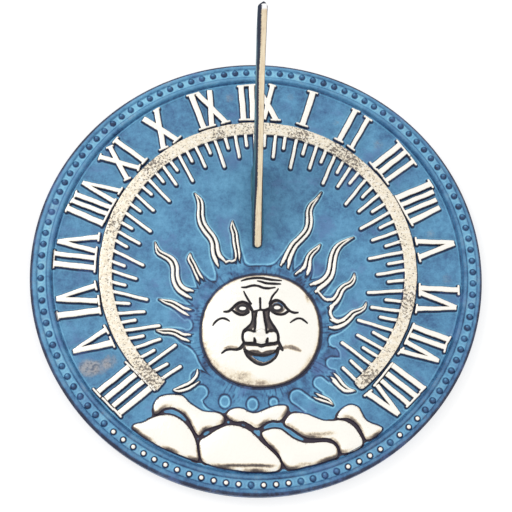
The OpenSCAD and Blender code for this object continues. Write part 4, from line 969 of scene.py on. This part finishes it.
def rough_brass():
    """Brass as cast in sand: dull, pitted, brown where air has reached it, blue where patina ran under."""
    mat, tree, shader = new_material("sand-cast brass, unpolished back")
    broad, grain = noise(tree, 26, 4, offset=2.2), noise(tree, 1.4, 4, 0.7)
    browns = [(0.0, "#6B5230"), (0.45, "#927344"), (1.0, "#B39556")]
    place = add(tree, "ShaderNodeTexCoord").outputs["Object"]
    place = add(tree, "ShaderNodeVectorMath", {0: place, 1: (1000, 1000, 0)}, operation="MULTIPLY").outputs[0]
    out = add(tree, "ShaderNodeVectorMath", {0: place}, operation="LENGTH").outputs["Value"]
    spill = times(fade(plus(out, broad, 30), 108, 124), 0.75)
    colour = blend(spill, ramp(fade(plus(broad, grain, 0.6), -0.25, 0.25), browns), linear("#35607F"))
    fill(shader, {"Base Color": colour, "Metallic": 0.8, "Roughness": 0.62,
                  "Normal": dents(grain, 0.8, 0.0004)})
    return mat


plate_piece(mesh_piece("casting_back", *back_mesh(), {}), rough_brass())

# ------------------------------------------------------------------ gnomon
# A second brass casting: a triangular blade whose sloping edge throws the shadow. It is dark with
# patina on both sides, and filed bright along the edge. Its foot sits on the field.
toe, tip = (11.8, 8.0), (114.9, 100.0)
heel_y, foot_z, foot_top = 62.2, 5.5, 11.5
# Depths below the style of the first rows of points, where the bevel ends, and how many rows follow.
near_edge, bevel, lower_rows = (0, 0.25, 0.6, 1.0, 1.5, 2.2), 2.2, 16
# The share of its length over which the style rounds off, the draft of its sides, and the foot's
# middle, half width and flare.
round_end, draft, foot_mid, foot_half, foot_flare = 0.015, 0.25, 0.5, 2.6, 0.8
# Along the style: how far along, then the left side, the two edges of the bright flat and the right side.
style_rows = [
    (0, -2.6, -0.6, 1.8, 2.8), (0.065, -2.5, -0.6, 1.8, 2.8), (0.17, -2.1, -0.45, 1.8, 2.7),
    (0.28, -1.7, 0.4, 1.95, 2.6), (0.39, -1.6, 0.45, 2.2, 2.6), (0.56, -1.6, 0.4, 2.3, 2.6),
    (0.72, -1.7, 0.15, 2.3, 2.6), (0.82, -1.75, 1.1, 2.5, 2.9), (0.94, -1.9, 1.4, 2.8, 3.3),
    (1, -1.7, 1.3, 2.8, 3.45)]


def blade_back(t):
    """The line that closes the blade below, from toe to tip: along the foot, up the heel, up the back."""
    stops = np.array([(0, toe[0], foot_z), (0.47, heel_y, foot_z), (0.51, heel_y + 0.2, foot_top),
                      (1, tip[0] - 0.1, tip[1] - 5.8)])
    return np.interp(t, stops[:, 0], stops[:, 1]), np.interp(t, stops[:, 0], stops[:, 2])


def blade_mesh():
    """Rings of points round the blade, from toe to tip. Each ring runs over the bright flat, down the
    right side, under, and up the left side. The sides lean out by the bevels, a slight draft and the
    flare of the foot. Both ends are half circles in plan: widths follow the square root of 1 - s*s."""
    along = 420
    t = 0.5 - 0.5 * np.cos(np.linspace(0, math.pi, along))
    sy, sz = toe[0] + (tip[0] - toe[0]) * t, toe[1] + (tip[1] - toe[1]) * t
    by, bz = blade_back(t)
    rows = np.array(style_rows)
    left, flat_left, flat_right, right = (np.interp(t, rows[:, 0], rows[:, k]) for k in (1, 2, 3, 4))
    s = np.maximum(1 - t / round_end, (t - 1 + round_end) / round_end)
    end = np.sqrt(np.clip(1 - np.clip(s, 0, 1) ** 2, 0.003, 1))
    deep = np.maximum(np.hypot(sy - by, sz - bz), 2.4)
    middle = (left + right) / 2
    shares = [np.minimum(d / deep, 1) for d in near_edge]
    shares += [bevel / deep + (1 - bevel / deep) * k / lower_rows for k in range(1, lower_rows + 1)]

    def side(outer, flat, sign):
        points = []
        for share in shares:
            y, z, d = sy + (by - sy) * share, sz + (bz - sz) * share, deep * share
            x = flat + (outer - flat) * np.sqrt(step(d, -0.1, 1.6)) + sign * draft * np.clip(d / 30, 0, 1)
            foot = foot_mid + sign * (foot_half + foot_flare * np.clip((foot_top - z) / 6, 0, 1))
            spread = step(z, foot_top + 1, foot_top - 0.5) * step(d, 0.2, 1.5)
            spread *= step(y, 12, 22) * step(y, heel_y + 0.3, heel_y - 2)
            x = np.where(sign * foot > sign * x, x + (foot - x) * spread, x)
            points.append(np.stack([middle + (x - middle) * end, y, z, d, np.full(along, float(sign))], 1))
        return points

    over = []
    for share in (0.88, 0.5, 0.12):
        x = flat_left + (flat_right - flat_left) * (1 - share)
        over.append(np.stack([middle + (x - middle) * end, sy, sz + 0.1, 0 * t, 0 * t], 1))
    ring = np.array(side(right, flat_right, 1) + side(left, flat_left, -1)[::-1] + over)
    count = len(ring)
    verts = ring[:, :, :3].transpose(1, 0, 2).reshape(-1, 3)
    faces = grid_faces(along, count, wrap=True)[:, ::-1].tolist()
    faces += [list(range(count)), list(range(along * count - 1, (along - 1) * count - 1, -1))]
    return verts, faces, {"down": ring[:, :, 3].T.ravel(), "right": ring[:, :, 4].T.ravel(),
                          "along": np.repeat(t, count)}


def flange_mesh():
    """A flat leaf beside the foot: an outline of rounded ends, stacked in rings that close in at the top.
    The outline is a circle whose cosine and sine are raised to powers below 1, which fills its corners."""
    n, mid_x, mid_y, wide, long = 120, -1.0, 49.8, 2.3, 12.4
    a = np.linspace(0, 2 * math.pi, n, endpoint=False)
    c, s = np.cos(a), np.sin(a)
    rings = []
    for grow, z in ((0, 5.6), (0, 6.9), (-0.15, 7.2), (-0.4, 7.35), (-0.9, 7.4)):
        x = mid_x + (wide + grow) * np.sign(c) * abs(c) ** 0.7
        y = mid_y + (long + grow) * np.sign(s) * abs(s) ** 0.55
        rings.append(np.stack([x, y, np.full(n, z)], 1))
    verts = np.concatenate(rings)
    faces = np.roll(grid_faces(len(rings), n, wrap=True)[:, ::-1], 1, 1).tolist()
    faces += [list(range(n - 1, -1, -1)), list(range(len(verts) - n, len(verts)))]
    # painted light: the leaf's top gets the light teal of a lit face and its sides the dark blue of shade
    return verts, faces, {"down": np.where(verts[:, 2] > 7.1, 6.0, 1.2), "right": -np.ones(len(verts)),
                          "along": np.zeros(len(verts))}


def gnomon_brass():
    """Cast brass with a blue-black patina on its sides and a filed edge: fine scratches run along the
    edge. The sides carry painted shade, darkest just under the edge, and are teal low on the blade; a
    painted highlight whitens the edge near the tip."""
    mat, tree, shader = new_material("cast brass, dark patina, edge filed bright")
    down, along = mark(tree, "down"), mark(tree, "along")
    fine, small, broad = noise(tree, 0.8, 2), noise(tree, 3, 3, offset=4.4), noise(tree, 12, 3, offset=8.1)
    scratch = noise(tree, 0.5, 2, 0.5, stretch=(1, 0.06, 0.06))
    bright = times(fade(plus(down, fine, 0.5), 0.42, 0.12), fade(along, 0.989, 0.994, 1, 0))
    # the sides: dark patina with painted shade just under the edge, teal lower down
    side = plus(fade(down, 0.8, 2.0, 0.1, 0.66), broad, 0.7)
    patina = ramp(plus(side, small, 0.3),
                  [(0.0, "#0F1A33"), (0.3, "#1A3148"), (0.6, "#2A5766"), (0.85, "#4B8390")])
    metal = ramp(plus(times(scratch, 0.9), plus(times(small, 0.5), 0.35)),
                 [(0.0, "#FBF0D2"), (0.4, "#E7D5B7"), (0.75, "#CAAF8A"), (1.0, "#8C6D43")])
    # a painted highlight: the filed edge turns white near the tip
    metal = blend(fade(along, 0.966, 0.978), metal, linear("#FFFFFF"))
    brown = times(fade(mark(tree, "right"), 0.2, 0.8), fade(down, 1.1, 0.5, 0.0, 0.75))
    colour = blend(bright, blend(brown, patina, linear("#6A4A3A")), metal)
    grain = plus(times(small, 1.2), fine, 0.5)
    fill(shader, {"Base Color": colour, "Metallic": times(bright, 0.6),
                  "Roughness": fade(bright, 0, 1, 0.5, 0.34), "Normal": dents(grain, 0.5, 0.0003)})
    return mat


gnomon_metal = gnomon_brass()
for name, parts in (("gnomon_blade", blade_mesh()), ("gnomon_flange", flange_mesh())):
    gnomon = mesh_piece(name, *parts, sharp=50)
    gnomon.data.materials.append(gnomon_metal)
    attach(gnomon, "root")
    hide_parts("gnomon")

# ------------------------------------------------------------------ screws
# Two slotted cheese-head screws, turned from brass bar, hold the gnomon from beneath. They keep
# the form they have in the model and get the fine rings that the lathe leaves.


def turned_brass():
    """Free-cutting brass as turned: fine rings about each screw's axis, a little dulled by handling."""
    mat, tree, shader = new_material("turned brass")
    handled, rings = noise(tree, 2.5, 3), noise(tree, 0.25, 2, stretch=(0.1, 0.1, 1))
    colour = ramp(plus(handled, 0.5), [(0.2, "#9C7B3C"), (0.5, "#C6A45A"), (0.8, "#DDBF7A")])
    fill(shader, {"Base Color": colour, "Metallic": 1.0, "Roughness": fade(handled, -0.3, 0.3, 0.28, 0.46),
                  "Normal": dents(rings, 0.4, 0.0001)})
    return mat


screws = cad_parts["gnomon_screws"]
screws.data.materials.clear()
screws.data.materials.append(turned_brass())

# ------------------------------------------------------------------ floor, light and camera
# A plain white sheet in a studio, under a broad soft sky with one large lamp from the upper left,
# photographed from above and a little from the south.
floor_mesh = bpy.data.meshes.new("floor")
half = 3
floor_mesh.from_pydata([(-half, -half, 0), (half, -half, 0), (half, half, 0), (-half, half, 0)], [],
                       [(0, 1, 2, 3)])
floor = bpy.data.objects.new("floor", floor_mesh)
bpy.context.scene.collection.objects.link(floor)
paper, _, paper_shader = new_material("white paper")
fill(paper_shader, {"Base Color": linear("#B4B4B4"), "Emission Color": linear("#FFFFFF"),
                    "Emission Strength": 0.6, "Roughness": 0.9, "Specular IOR Level": 0.0})
floor_mesh.materials.append(paper)

world = bpy.data.worlds.new("studio")
world.use_nodes = True
sky = world.node_tree
sky.nodes.clear()
rays = add(sky, "ShaderNodeLightPath").outputs["Is Camera Ray"]
air = add(sky, "ShaderNodeBackground", {"Color": linear("#FFFFFF"), "Strength": 0.99})
white = add(sky, "ShaderNodeBackground", {"Color": linear("#FFFFFF"), "Strength": 1.0})
joined = add(sky, "ShaderNodeMixShader", {0: rays, 1: air.outputs[0], 2: white.outputs[0]})
add(sky, "ShaderNodeOutputWorld", {0: joined.outputs[0]})
bpy.context.scene.world = world

lamp_data = bpy.data.lights.new("key", "AREA")
lamp_data.shape = "DISK"
lamp_data.size = 0.5
lamp_data.energy = 3.0
lamp = bpy.data.objects.new("key", lamp_data)
lamp.location = (-0.75, 0.55, 1.05)
bpy.context.scene.collection.objects.link(lamp)
to_dial = -lamp.location.normalized()
lamp.rotation_euler = to_dial.to_track_quat("-Z", "Y").to_euler()

camera_data = bpy.data.cameras.new("camera")
camera_data.lens = 81.83
camera_data.sensor_width = 36
camera_data.clip_start = 0.01
camera = bpy.data.objects.new("camera", camera_data)
# the camera's right, up and backward directions, as columns, and its place
turned = ((0.99952, -0.00380, -0.03085), (-0.00610, 0.94917, -0.31472), (0.03048, 0.31475, 0.94869))
place = Matrix(turned).to_4x4()
place.translation = (-0.02082, -0.19981, 0.6299)
camera.matrix_world = place
bpy.context.scene.collection.objects.link(camera)
bpy.context.scene.camera = camera
bpy.context.scene.view_settings.view_transform = "Standard"
